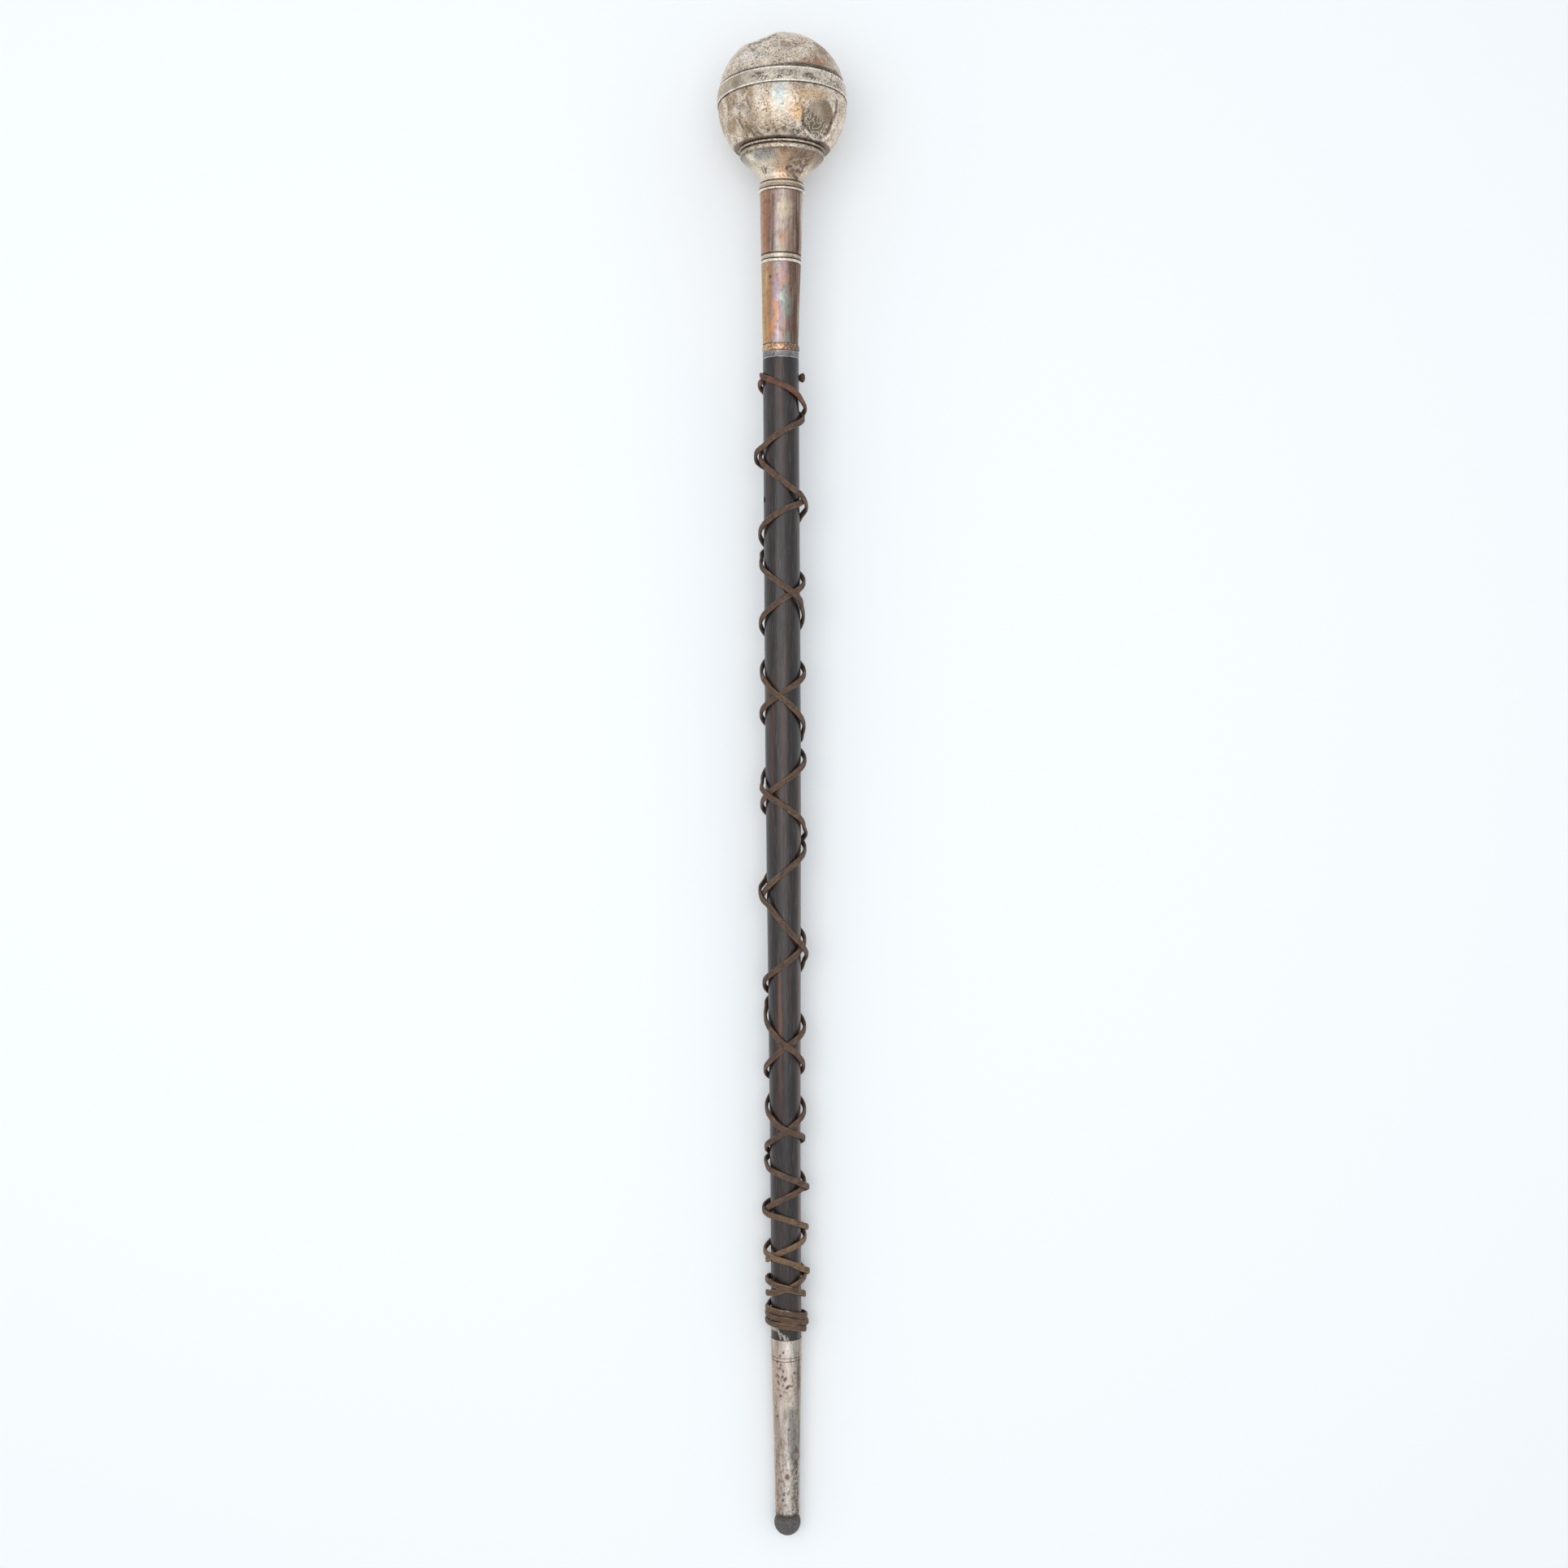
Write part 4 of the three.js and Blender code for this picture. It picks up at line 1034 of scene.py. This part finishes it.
def make_collar():
    flare_foot = NECK_FOOT + NECK_LENGTH
    flare_edge = RIM_RADIUS - COLLAR_GROOVE_DEPTH
    visible = [(NECK_RADIUS, NECK_FOOT)]
    for share in np.linspace(0, 1, 24):
        opening = (share ** FLARE_POWER + float(smooth(share, 0, 1))) / 2
        radius = NECK_RADIUS + (flare_edge - NECK_RADIUS) * opening
        visible.append((radius, flare_foot + FLARE_LENGTH * share))
    for turn in np.linspace(0, math.pi / 2, 5)[1:]:
        visible.append((
            flare_edge + COLLAR_GROOVE_DEPTH * math.sin(turn),
            RIM_FOOT + RIM_BEVEL * (1 - math.cos(turn)),
        ))
    visible += [
        (RIM_RADIUS, RIM_FOOT + RIM_HEIGHT - RIM_EDGE),
        (RIM_RADIUS - 0.3, RIM_FOOT + RIM_HEIGHT - 0.2),
        (flare_edge, RIM_FOOT + RIM_HEIGHT),
        (flare_edge, FOOT_RING_FOOT),
    ]
    ring_foot = FOOT_RING_FOOT + COLLAR_GROOVE / 2
    visible += bead(FOOT_RING_RADIUS - 0.7, FOOT_RING_RADIUS, ring_foot, COLLAR_TOP, 8)
    turned("neck_collar", visible, [(0, COLLAR_TOP), (0, NECK_FOOT)],
           256, 0.7, "globe_silver", paint_collar, relief_sleeve, HEAD)


# Globe
def facing(centre, turn, height):
    """A place on the globe and the directions to its right and up, for a turn and a height."""
    turn, height = math.radians(turn), math.radians(height)
    out = np.array([
        math.cos(height) * math.sin(turn), math.sin(height), math.cos(height) * math.cos(turn)])
    right = np.array([math.cos(turn), 0, -math.sin(turn)])
    return np.array([0, centre, 0]) + out * GLOBE_RADIUS, right, np.cross(out, right)


def dent_share(surface, centre, turn, height, sides):
    """How deep in a sheet-metal dent each point lies: 1 in its middle, with a crease along each
    of its sides. A side is (degrees round from its right, distance from its middle)."""
    middle, right, up = facing(centre, turn, height)
    offset = surface.points - middle
    across, rise = offset @ right, offset @ up
    reach = np.zeros(len(offset))
    for angle, distance in sides:
        angle = math.radians(angle)
        side = (across * math.cos(angle) + rise * math.sin(angle)) / distance
        reach = reach + np.clip(side, 0, None) ** 8
    reach = reach ** (1 / 8)
    near = np.linalg.norm(offset, axis=1) < GLOBE_RADIUS
    return np.clip(1 - reach ** 2, 0, None) * near


# The two dents: the degrees round the globe and up it, the depth, and the sides of each
BOWL_DENT = (40, -28)
BOWL_DENT_DEPTH = 5.2
BOWL_DENT_SIDES = [(42, 15), (98, 15), (160, 15), (222, 16), (268, 19), (318, 15.5), (0, 15.5)]
DOME_DENT = (-42, 60)
DOME_DENT_DEPTH = 2.8
DOME_DENT_SIDES = [(20, 15), (75, 13), (135, 14), (200, 13), (260, 14), (315, 15)]

# The bowl's marks in photo pixels. A small scratch or pit is start, end, width and its depth in
# millimetres.
BOWL_MARKS = [
    ((919.5, 119), (921, 126), 2.4, 0.35),
    ((921, 126), (924, 133), 1.8, 0.35),
    ((908, 148), (914, 160), 1.2, -0.15),
    ((911, 148), (916, 159), 1.0, 0.2),
    ((921, 156), (924, 163), 2.4, 0.3),
    ((925, 158), (929, 167), 2.4, 0.3),
    ((929, 167), (938, 170), 2.0, 0.3),
    ((965, 131), (968, 127), 1.2, -0.1),
]
DENT_EDGES = [
    ((1031, 124), (1030, 138)), ((1030, 138), (1024, 152)), ((1024, 152), (1018, 166)),
    ((990, 133), (989, 149)), ((989, 149), (997, 161)),
]
DENT_LIPS = [
    ((994, 162), (1002, 171)), ((1002, 171), (1013, 174)), ((1013, 174), (1021, 167)),
]
DENT_RIDGE = ((996, 165), (1013, 174), 3, 3)
DENT_SHADE = ((1022, 132), (20, 46))
DENT_MIDDLE = ((1010, 124), (22, 14))
DENT_CORNER = (1010, 140)
BOWL_LEFT = (918, 950)
SMOOTH_PATCH = ((963, 118), (26, 50))
BOWL_PATCHES = [
    # A duller cream column where the lamp's highlight falls on the bowl's front, painted shade that tones
    # that highlight down.
    ((206, 190, 170), 0.65, (962, 140), (28, 64)),
    # A painted highlight column on the bowl's left.
    ((246, 238, 226), 0.3, (934, 116), (12, 44)),
    # A browner strip between the two, painted as a darker reflection.
    ((176, 150, 122), 0.5, (946, 128), (10, 60)),
    ((176, 152, 128), 0.5, (985, 112), (20, 22)),
    # A pale blue painted sheen over the bowl's front.
    ((166, 188, 192), 0.65, (960, 113), (18, 36), 0.8),
    ((232, 186, 132), 0.75, (984, 136), (16, 26)),
    ((214, 176, 126), 0.55, (1002, 116), (34, 14)),
    ((210, 172, 130), 0.2, (946, 152), (34, 14)),
]
CRUMPLED_PATCH = ((958, 162), (64, 18))
BOWL_HOLE = [
    ((70, 58, 48), 0.6, (979, 162.5), (13, 9), 0.3),
    ((196, 192, 184), 0.85, (979, 163), (6, 4), 0.3),
]


def hammered(surface, seed):
    """The fine hammer marks of the globe's shells."""
    points = surface.points
    coarse = 0.13 * lumps(points, 6.5, seed) + 0.07 * lumps(points, 2.8, seed + 4)
    return coarse + 0.03 * lumps(points, 1.3, seed + 8)


def relief_bowl(surface):
    stand = hammered(surface, 2.0)
    stand = stand - BOWL_DENT_DEPTH * dent_share(surface, BOWL_CENTRE, *BOWL_DENT, BOWL_DENT_SIDES)
    stand = stand + 0.5 * surface.stroke(*DENT_RIDGE)
    for start, end, width, depth in BOWL_MARKS:
        stand = stand - depth * surface.stroke(start, end, width)
    return stand


def paint_bowl(surface):
    hollow = dent_share(surface, BOWL_CENTRE, *BOWL_DENT, BOWL_DENT_SIDES)
    clouds = surface.cloud(9, 77, -0.6, 0.5)
    surface.grit = 0.45 + 0.5 * clouds - 0.7 * surface.patch(*SMOOTH_PATCH) - 0.6 * hollow
    tarnish(surface, SILVER, 0.4, 0.08, 0.06, 0.4, 0.4)
    left = 1 - smooth(surface.x, *BOWL_LEFT)
    surface.wash((176, 150, 122), 0.85 * left * surface.cloud(8, 71, -0.7, 0.3))
    surface.patches(BOWL_PATCHES)
    paint_dent(surface, hollow)
    for start, end, width, depth in BOWL_MARKS:
        colour = (74, 60, 50) if depth > 0 else (248, 240, 226)
        surface.wash(colour, 0.55 * surface.stroke(start, end, width * 0.6))
    crumpled = surface.patch(*CRUMPLED_PATCH) * surface.cloud(3.4, 83, 0.0, 0.35)
    surface.wash((96, 76, 60), 0.75 * crumpled)
    surface.patches(BOWL_HOLE)
    # Painted shadows under the belt's lower lip and where the globe sits on its collar.
    under_belt = smooth(surface.place, BELT_FOOT - 1.6, BELT_FOOT)
    surface.wash(PAINTED_SHADOW, 0.85 * np.maximum(under_belt, 0.8 * seat_shade(surface)))


def paint_dent(surface, hollow):
    """The bowl's dent, painted darker than the bowl with painted shade that is deepest on its right and in
    its middle, pitted at its lower left, with painted shade along its creased edges and a painted highlight
    along its lip.
    """
    # Painted shade: the whole dent darker, then darker on its right and in its middle.
    surface.wash((190, 170, 148), 0.9 * smooth(hollow, 0.02, 0.2))
    surface.wash((112, 94, 78), 0.7 * smooth(hollow, 0.05, 0.2) * surface.patch(*DENT_SHADE))
    surface.wash((120, 102, 86), 0.6 * smooth(hollow, 0.3, 0.7) * surface.patch(*DENT_MIDDLE))
    below = surface.y - 0.9 * (surface.x - DENT_CORNER[0])
    pitted = smooth(hollow, 0.05, 0.2) * smooth(below, DENT_CORNER[1], DENT_CORNER[1] + 10)
    surface.wash((112, 96, 80), 0.8 * pitted)
    surface.wash((226, 214, 198), 0.85 * pitted * veins(surface.points, 3.0, 66, 0.3))
    # Painted shade along the dent's creased edges and a painted highlight along its lower lip.
    surface.lines((74, 56, 42), 0.7, DENT_EDGES, 1.2, 2.0)
    surface.lines((252, 242, 228), 0.8, DENT_LIPS, 1.6, 1.6)


def seat_shade(surface):
    """The dark line where the globe sits on the collar, which lies askew to it."""
    inverse = np.array(HEAD.inverted())
    place = surface.world @ inverse[1, :3] + inverse[1, 3]
    return 1 - smooth(place, BOWL_FOOT + 0.2, BOWL_FOOT + 1.3)


def make_bowl():
    visible = [
        (GLOBE_RADIUS * math.sin(turn), BOWL_CENTRE - GLOBE_RADIUS * math.cos(turn))
        for turn in np.linspace(math.asin(GLOBE_FOOT_RADIUS / GLOBE_RADIUS) - BOWL_SEAT_TURN, math.pi / 2, 90)
    ]
    shoulder = DOME_CENTRE - FIT_GAP
    hidden = [(DOME_RADIUS, shoulder), (0, shoulder), (0, visible[0][1])]
    turned("globe_bowl", visible + [(GLOBE_RADIUS - 0.05, BELT_FOOT)], hidden, 440, 0.6,
           "globe_silver", paint_bowl, relief_bowl, GLOBE, seated, BOWL_CENTRE)


# The bowl reaches a little past its seat on the collar, and is cut there
BOWL_SEAT_TURN = GLOBE_NOD + GLOBE_LEAN


def seated(mesh):
    """The bowl cut flat where it sits on the collar, square to the collar."""
    to_globe = GLOBE.inverted() @ HEAD

    def cut_seat(shape):
        cut = bmesh.ops.bisect_plane(
            shape, geom=shape.verts[:] + shape.edges[:] + shape.faces[:], clear_inner=True,
            plane_co=to_globe @ Vector((0, BOWL_FOOT, 0)),
            plane_no=(to_globe.to_3x3() @ Vector((0, 1, 0))).normalized())
        rim = [edge for edge in cut["geom_cut"] if isinstance(edge, bmesh.types.BMEdge)]
        bmesh.ops.contextual_create(shape, geom=rim)
        bmesh.ops.recalc_face_normals(shape, faces=shape.faces)

    reshape(mesh, cut_seat)
    return mesh


# Folds in the dome's dent and the dome's other marks, in photo pixels
DOME_FOLDS = [
    ((924, 55), (937, 52)), ((937, 52), (947, 47.5)), ((947, 47.5), (954, 43)),
    ((927, 63), (937, 56)), ((923, 57), (929, 62)),
]
DOME_RIGHT = (980, 1012)
PALE_MIDDLE = ((955, 66), (76, 40))
DOME_CLOUD = ((972, 53), (30, 12))
DOME_RIGHT_CLOUD = ((1016, 66), (26, 34))
DOME_PATCHES = [
    # A painted highlight at the dome's left.
    ((255, 248, 238), 0.8, (922, 72), (18, 16)),
    ((170, 180, 186), 0.3, (936, 66), (12, 8)),
]
DOME_STROKES = [
    # Pale painted highlights along two of the dent's folds.
    ((250, 242, 230), 0.7, (932, 60), (948, 54), 1.2),
    ((250, 242, 230), 0.7, (926, 52), (936, 49), 1.2),
    ((232, 196, 186), 0.6, (919, 76), (923, 69), 3),
]
DOME_FOOT_PATCHES = [
    ((176, 126, 92), 0.5, (1000, 76), (34, 10)),
    ((196, 156, 122), 0.3, (933, 78), (18, 8)),
]
DOME_SHADE_SPAN = (945, 985)


def relief_dome(surface):
    stand = hammered(surface, 12.0)
    stand = stand - DOME_DENT_DEPTH * dent_share(surface, DOME_CENTRE, *DOME_DENT, DOME_DENT_SIDES)
    for start, end in DOME_FOLDS:
        stand = stand - 0.4 * surface.stroke(start, end, 2.0, 2.4)
    fade = 1 - 0.9 * smooth(surface.place, DOME_CENTRE + DOME_HEIGHT - 1.0, DOME_CENTRE + DOME_HEIGHT)
    return stand * fade


def paint_dome(surface):
    surface.grit = 0.5 + 0.45 * surface.cloud(9, 87, -0.6, 0.5)
    tarnish(surface, SILVER, 0.4, 0.08, 0.08, 0.35, 0.45)
    right = smooth(surface.x, *DOME_RIGHT)
    surface.wash((156, 128, 102), 0.75 * right * surface.cloud(9, 73, -0.5, 0.4))
    # A painted highlight over the dome's middle.
    surface.wash((248, 236, 218), 0.5 * surface.patch(*PALE_MIDDLE))
    surface.wash((150, 122, 96), 0.6 * surface.patch(*DOME_CLOUD) * surface.cloud(4, 63, -0.5, 0.2))
    surface.wash((140, 114, 92), 0.6 * surface.patch(*DOME_RIGHT_CLOUD) * surface.cloud(4, 68, -0.5, 0.2))
    surface.patches(DOME_PATCHES)
    # Painted shade in the dent's folds; the strokes after it add the painted highlights along them.
    surface.lines((96, 80, 68), 0.5, DOME_FOLDS, 0.8, 1.6)
    surface.strokes(DOME_STROKES)
    surface.patches(DOME_FOOT_PATCHES)
    # A painted shadow above the belt, wider towards the right.
    rise = 2.4 + 2.6 * smooth(surface.x, *DOME_SHADE_SPAN)
    over_belt = 1 - smooth(surface.place, BELT_TOP + rise / 2, BELT_TOP + rise)
    surface.wash(PAINTED_SHADOW, 0.85 * over_belt)


def dome_radius(place):
    return DOME_RADIUS * math.sqrt(1 - ((place - DOME_CENTRE) / DOME_HEIGHT) ** 2)


def make_dome():
    visible = [
        (DOME_RADIUS * math.sin(turn), DOME_CENTRE + DOME_HEIGHT * math.cos(turn))
        for turn in np.linspace(math.pi / 2, math.radians(0.6), 90)
    ]
    turned("globe_dome", visible, [(0, DOME_CENTRE + DOME_HEIGHT), (0, DOME_CENTRE)], 440, 0.8,
           "globe_silver", paint_dome, relief_dome, GLOBE, None, DOME_CENTRE)


# Worn places on the belt, in photo pixels: middle, size, and how dark they are. The crackled
# ones are broken up into thin crooked lines.
CRACKLED_WEAR = [
    ((937, 93), (24, 11), 0.8), ((969, 89), (36, 9), 0.7), ((998, 92), (10, 8), 0.6),
    ((1027, 110), (22, 26), 0.6), ((911, 104), (16, 10), 0.3),
]
DARK_WEAR = [
    ((928.5, 94.5), (5, 6), 0.8), ((959, 94), (9, 4), 0.85), ((961, 91.5), (4, 4), 0.7),
    ((994, 92.5), (11, 6), 0.75), ((1002, 96), (9, 5), 0.75),
]
BELT_CHIP = ((982, 81.5), (990, 82), 1.5)
BELT_LEFT = (900, 936)
BELT_RIGHT = (990, 1020)


def belt_wear(surface):
    points = surface.points
    worn = np.zeros(len(points))
    crackle = np.maximum(veins(points, 2.6, 91, 0.34), 0.8 * veins(points, 1.8, 17, 0.3))
    for centre, size, share in CRACKLED_WEAR:
        worn = np.maximum(worn, share * surface.patch(centre, size, 0.3) * crackle)
    ragged = surface.cloud(1.5, 37, -0.5, -0.1)
    for centre, size, share in DARK_WEAR:
        worn = np.maximum(worn, share * surface.patch(centre, size, 0.3) * ragged)
    return worn


def relief_belt(surface):
    stand = 0.05 * lumps(surface.points, 4, 3) + 0.03 * lumps(surface.points, 1.3, 13)
    return stand - 0.3 * belt_wear(surface) - 0.3 * surface.stroke(*BELT_CHIP)


def paint_belt(surface):
    surface.grit = 0.35 + 0.5 * smooth(surface.x, *BELT_RIGHT)
    tarnish(surface, (226, 212, 194), 0.3, 0.04, 0.06, 0.3, 0.3)
    surface.wash((168, 148, 126), 0.6 * (1 - smooth(surface.x, *BELT_LEFT)) * surface.front)
    surface.wash((58, 47, 40), belt_wear(surface))
    low_lip = 1 - smooth(surface.place, BELT_FOOT + LIP_WIDTH * 0.7, BELT_FOOT + LIP_WIDTH * 1.1)
    high_lip = smooth(surface.place, BELT_TOP - LIP_WIDTH * 1.1, BELT_TOP - LIP_WIDTH * 0.7)
    worn = 0.75 + 0.25 * lumps(surface.points, 4, 33)
    surface.wash(BRIGHT_EDGE, 0.95 * np.maximum(low_lip, high_lip) * worn)
    surface.wash((252, 246, 238), surface.stroke(*BELT_CHIP))


def make_belt():
    inner_foot = GLOBE_RADIUS + FIT_GAP
    inner_top = dome_radius(BELT_TOP) + FIT_GAP
    outer_foot = GLOBE_RADIUS + BELT_STAND
    outer_top = inner_top + BELT_STAND - FIT_GAP
    face_foot = outer_foot - LIP_STAND
    face_top = outer_top - LIP_STAND
    visible = [(inner_foot, BELT_FOOT)]
    visible += bead(face_foot, outer_foot, BELT_FOOT, BELT_FOOT + LIP_WIDTH, 8)
    for share in np.linspace(0, 1, 14)[1:-1]:
        visible.append((
            face_foot + (face_top - face_foot) * share + BELT_CROWN * math.sin(math.pi * share),
            BELT_FOOT + LIP_WIDTH + (BELT_WIDTH - 2 * LIP_WIDTH) * share,
        ))
    visible += bead(face_top, outer_top, BELT_TOP - LIP_WIDTH, BELT_TOP, 8)
    visible.append((inner_top, BELT_TOP))
    turned("globe_belt", visible, [(DOME_RADIUS + FIT_GAP, DOME_CENTRE)], 560, 0.45,
           "globe_silver", paint_belt, relief_belt, GLOBE)


# Leather thongs
def route_through(turns):
    """The route of a strand: its share of the shaft at any number of quarter turns."""
    places = np.array([place for turn in turns for place in turn]) / 1000
    last = len(places) - 1

    def share_at(quarter):
        quarter = np.minimum(quarter, last)
        index = np.clip(np.floor(quarter).astype(int), 0, last - 1)
        share = quarter - index
        before, start = places[np.maximum(index - 1, 0)], places[index]
        end, after = places[index + 1], places[np.minimum(index + 2, last)]
        leave, arrive = (end - before) / 2, (after - start) / 2
        return ((2 * start - 2 * end + leave + arrive) * share ** 3
                + (3 * end - 3 * start - 2 * leave - arrive) * share ** 2 + leave * share + start)

    return share_at, last


right_hand, right_hand_end = route_through(RIGHT_HAND_TURNS)
left_hand, left_hand_end = route_through(LEFT_HAND_TURNS)
STEPS_A_TURN = 56
STRIP_CORNERS = 16
STRIP_FIT = 0.15


def distance_to_other(quarters, shares, other, other_end):
    """How far one strand passes from the other at the same side of the shaft."""
    nearest = np.full(len(quarters), float(SHAFT_LENGTH))
    first = -quarters % 4
    for lap in range(16):
        other_quarter = first + 4 * lap
        away = abs(shares - other(other_quarter)) * SHAFT_LENGTH
        nearest = np.where(other_quarter <= other_end, np.minimum(nearest, away), nearest)
    return nearest


def slack_at(shares):
    """How far a strand stands off the shaft's sides: close in the binding, but for its last turns."""
    binding = BINDING_SLACK * (1 - smooth(shares, LOOSE_END_SHARE, BINDING_SHARE))
    return np.where(shares > BINDING_SHARE, THONG_SLACK, binding)


def winding(route, end, other, other_end, direction, first_quarter, is_on_top):
    """Rows of middle, face, width and thickness for a strand that winds round the shaft."""
    quarters = np.arange(first_quarter, end + 1e-6, 4 / STEPS_A_TURN)
    shares = route(quarters)
    place = place_on_shaft(shares)
    turn = -math.pi / 2 + direction * quarters * math.pi / 2
    radius = shaft_radius(place)
    fall = abs(np.gradient(place, quarters * math.pi / 2)) / radius
    touching = 0.85 * THONG_WIDTH * np.hypot(1, fall)
    distance = distance_to_other(quarters, shares, other, other_end)
    lift = (1 - smooth(distance, touching, touching + 12)) * (THONG_THICKNESS + FIT_GAP)
    lift = lift * is_on_top(shares)
    tucked = 1.6 * smooth(quarters, first_quarter, first_quarter + 0.35)
    loose = slack_at(shares) * np.sin(turn) ** 2 * (tucked if first_quarter <= 0 else 1)
    along = np.stack([quarters * 9, quarters * 0, quarters * 0], axis=1)
    wander = lumps(along, 4, 5 + direction)
    loose = loose * (1 + 0.6 * wander * (1 - smooth(shares, LOOSE_END_SHARE, BINDING_SHARE)))
    inner = radius + STRIP_FIT + loose + lift + 0.12 * abs(wander)
    face = np.stack([np.sin(turn), np.zeros_like(turn), np.cos(turn)], axis=1)
    width = THONG_WIDTH * (1 + 0.07 * lumps(along, 6, 25 + direction))
    thickness = THONG_THICKNESS * (1 + 0.06 * lumps(along, 5, 35 + direction))
    middle = face * (inner + thickness / 2)[:, None]
    middle[:, 1] = place + 0.25 * wander
    return middle, face, width, thickness


def knotted_start():
    """The strand's start: a knot on the right, through the hole, and a bend on the left."""
    out = np.array([math.sin(DRILL_TURN), 0, math.cos(DRILL_TURN)])
    side = np.array([out[2], 0, -out[0]])
    knot_foot = -SHAFT_HEAD_RADIUS - 2 * FIT_GAP
    bend_radius = THONG_THICKNESS
    bend_foot = SHAFT_HEAD_RADIUS + FIT_GAP + THONG_SLACK + THONG_THICKNESS / 2 - bend_radius
    runs = []
    for share in (1 - np.cos(np.linspace(0, math.pi, 16))) / 2:
        swell = max(1 - abs(2 * share - 1) ** 2.4, 0.03) ** 0.5 * (1.04 - 0.05 * math.cos(share * 9))
        reach = knot_foot - KNOT_LENGTH * (1 - share)
        runs.append((reach, 0, KNOT_WIDTH * swell, KNOT_THICKNESS * swell))
    runs.append((knot_foot + FIT_GAP, 0, THONG_WIDTH, THONG_THICKNESS))
    runs.append((0, 0, THONG_WIDTH, THONG_THICKNESS))
    for bend in np.radians([0, 15, 30, 45, 60]):
        runs.append((bend_foot + bend_radius * math.sin(bend), bend, THONG_WIDTH, THONG_THICKNESS))
    rows = []
    for reach, bend, width, thickness in runs:
        aside = bend_radius * (1 - math.cos(bend))
        middle = out * reach + side * aside
        middle[1] = place_on_shaft(THONG_HOLE_SHARE)
        rows.append((middle, out * math.sin(bend) - side * math.cos(bend), width, thickness))
    return [np.array(column) for column in zip(*rows)]


def swept(name, middle, face, width, thickness, paint):
    """A strand with rounded edges along a row of stations."""
    along = np.gradient(middle, axis=0)
    along /= np.linalg.norm(along, axis=1)[:, None]
    across = np.cross(along, face)
    across /= np.linalg.norm(across, axis=1)[:, None]
    outward = np.cross(across, along)
    points = []
    for corner in np.arange(STRIP_CORNERS) * 2 * math.pi / STRIP_CORNERS:
        aside = math.copysign(abs(math.cos(corner)) ** 0.6, math.cos(corner))
        rise = math.copysign(abs(math.sin(corner)) ** 0.75, math.sin(corner))
        sideways = across * (aside * width / 2)[:, None]
        points.append(middle + sideways + outward * (rise * thickness / 2)[:, None])
    points = np.stack(points, axis=1).reshape(-1, 3)
    faces = []
    rows = len(middle)
    for row in range(rows - 1):
        for corner in range(STRIP_CORNERS):
            beside = (corner + 1) % STRIP_CORNERS
            low, high = row * STRIP_CORNERS, (row + 1) * STRIP_CORNERS
            faces.append((low + corner, high + corner, high + beside, low + beside))
    faces.append(tuple(range(STRIP_CORNERS)))
    faces.append(tuple((rows - 1) * STRIP_CORNERS + corner for corner in reversed(range(STRIP_CORNERS))))
    mesh = bpy.data.meshes.new(name)
    mesh.from_pydata(points.tolist(), [], faces)
    reshape(mesh, turn_faces_out)
    place_piece(name, mesh, STAFF, "leather", paint)


def turn_faces_out(shape):
    bmesh.ops.recalc_face_normals(shape, faces=shape.faces)
    for face in shape.faces:
        face.smooth = True


# The knot, a gleam on it and a drop of glue on the binding, in photo pixels
KNOT_PATCH = ((988, 465), (12, 12), 0.1)
KNOT_GLEAM = ((984.5, 467), (4, 6))
GLUE_DROP = ((971, 1614), (5, 4))


def paint_thong(surface):
    points = surface.points
    surface.grit = np.full(len(points), 0.6)
    surface.cover((84, 64, 52))
    red = smooth(surface.place, place_on_shaft(0.93), place_on_shaft(0.975))
    surface.wash((112, 66, 48), 0.7 * red)
    low = smooth(surface.place, place_on_shaft(0.05), place_on_shaft(0.075)) * (
        1 - smooth(surface.place, place_on_shaft(0.115), place_on_shaft(0.14)))
    surface.wash((136, 108, 80), 0.5 * low)
    surface.haze((54, 41, 34), 0.6, 5, 3, 0.1, 0.8)
    surface.haze((118, 94, 74), 0.4, 3, 23, 0.2, 0.8)
    corner = np.arange(len(points)) % STRIP_CORNERS * 2 * math.pi / STRIP_CORNERS
    rise = np.sin(corner)
    edge = smooth(rise, 0.2, 0.5) * (1 - smooth(rise, 0.75, 0.95))
    # Painted highlights along the strip's outer edges, golden, stronger on the lowest turns.
    gold = 0.55 - 0.35 * smooth(surface.place, place_on_shaft(0.06), place_on_shaft(0.12))
    surface.wash((164, 130, 84), gold * edge * surface.cloud(6, 43, -0.5, 0.4))
    knot = surface.patch(*KNOT_PATCH) * (points[:, 0] > SHAFT_HEAD_RADIUS)
    # Painted shade on the strip's inner half, towards the shaft, except on the knot.
    surface.wash((42, 32, 27), 0.65 * (1 - knot) * (1 - smooth(rise, -0.3, 0.3)))
    surface.wash((158, 104, 78), 0.7 * knot)
    surface.wash((210, 184, 154), 0.7 * surface.patch(*KNOT_GLEAM) * knot)
    surface.wash((225, 218, 205), 0.8 * surface.patch(*GLUE_DROP))


def is_left_hand_on_top(shares):
    return abs(shares - LEFT_HAND_CROSSING_SHARE) < LEFT_HAND_REACH_SHARE


def make_thongs():
    hole_quarter = (DRILL_TURN + math.pi / 2) / (math.pi / 2)
    first = hole_quarter + 0.3
    start = knotted_start()
    rest = winding(right_hand, right_hand_end, left_hand, left_hand_end, 1, first,
                   lambda at: ~is_left_hand_on_top(at))
    columns = [np.concatenate([one, two]) for one, two in zip(start, rest)]
    swept("thong_right_hand", *columns, paint_thong)
    left = winding(left_hand, left_hand_end, right_hand, right_hand_end, -1, -0.25, is_left_hand_on_top)
    swept("thong_left_hand", *left, paint_thong)


make_camera()
make_stage()
make_tip()
make_ferrule()
make_shaft()
make_band()
make_rings_and_sleeves()
make_collar()
make_bowl()
make_dome()
make_belt()
make_thongs()
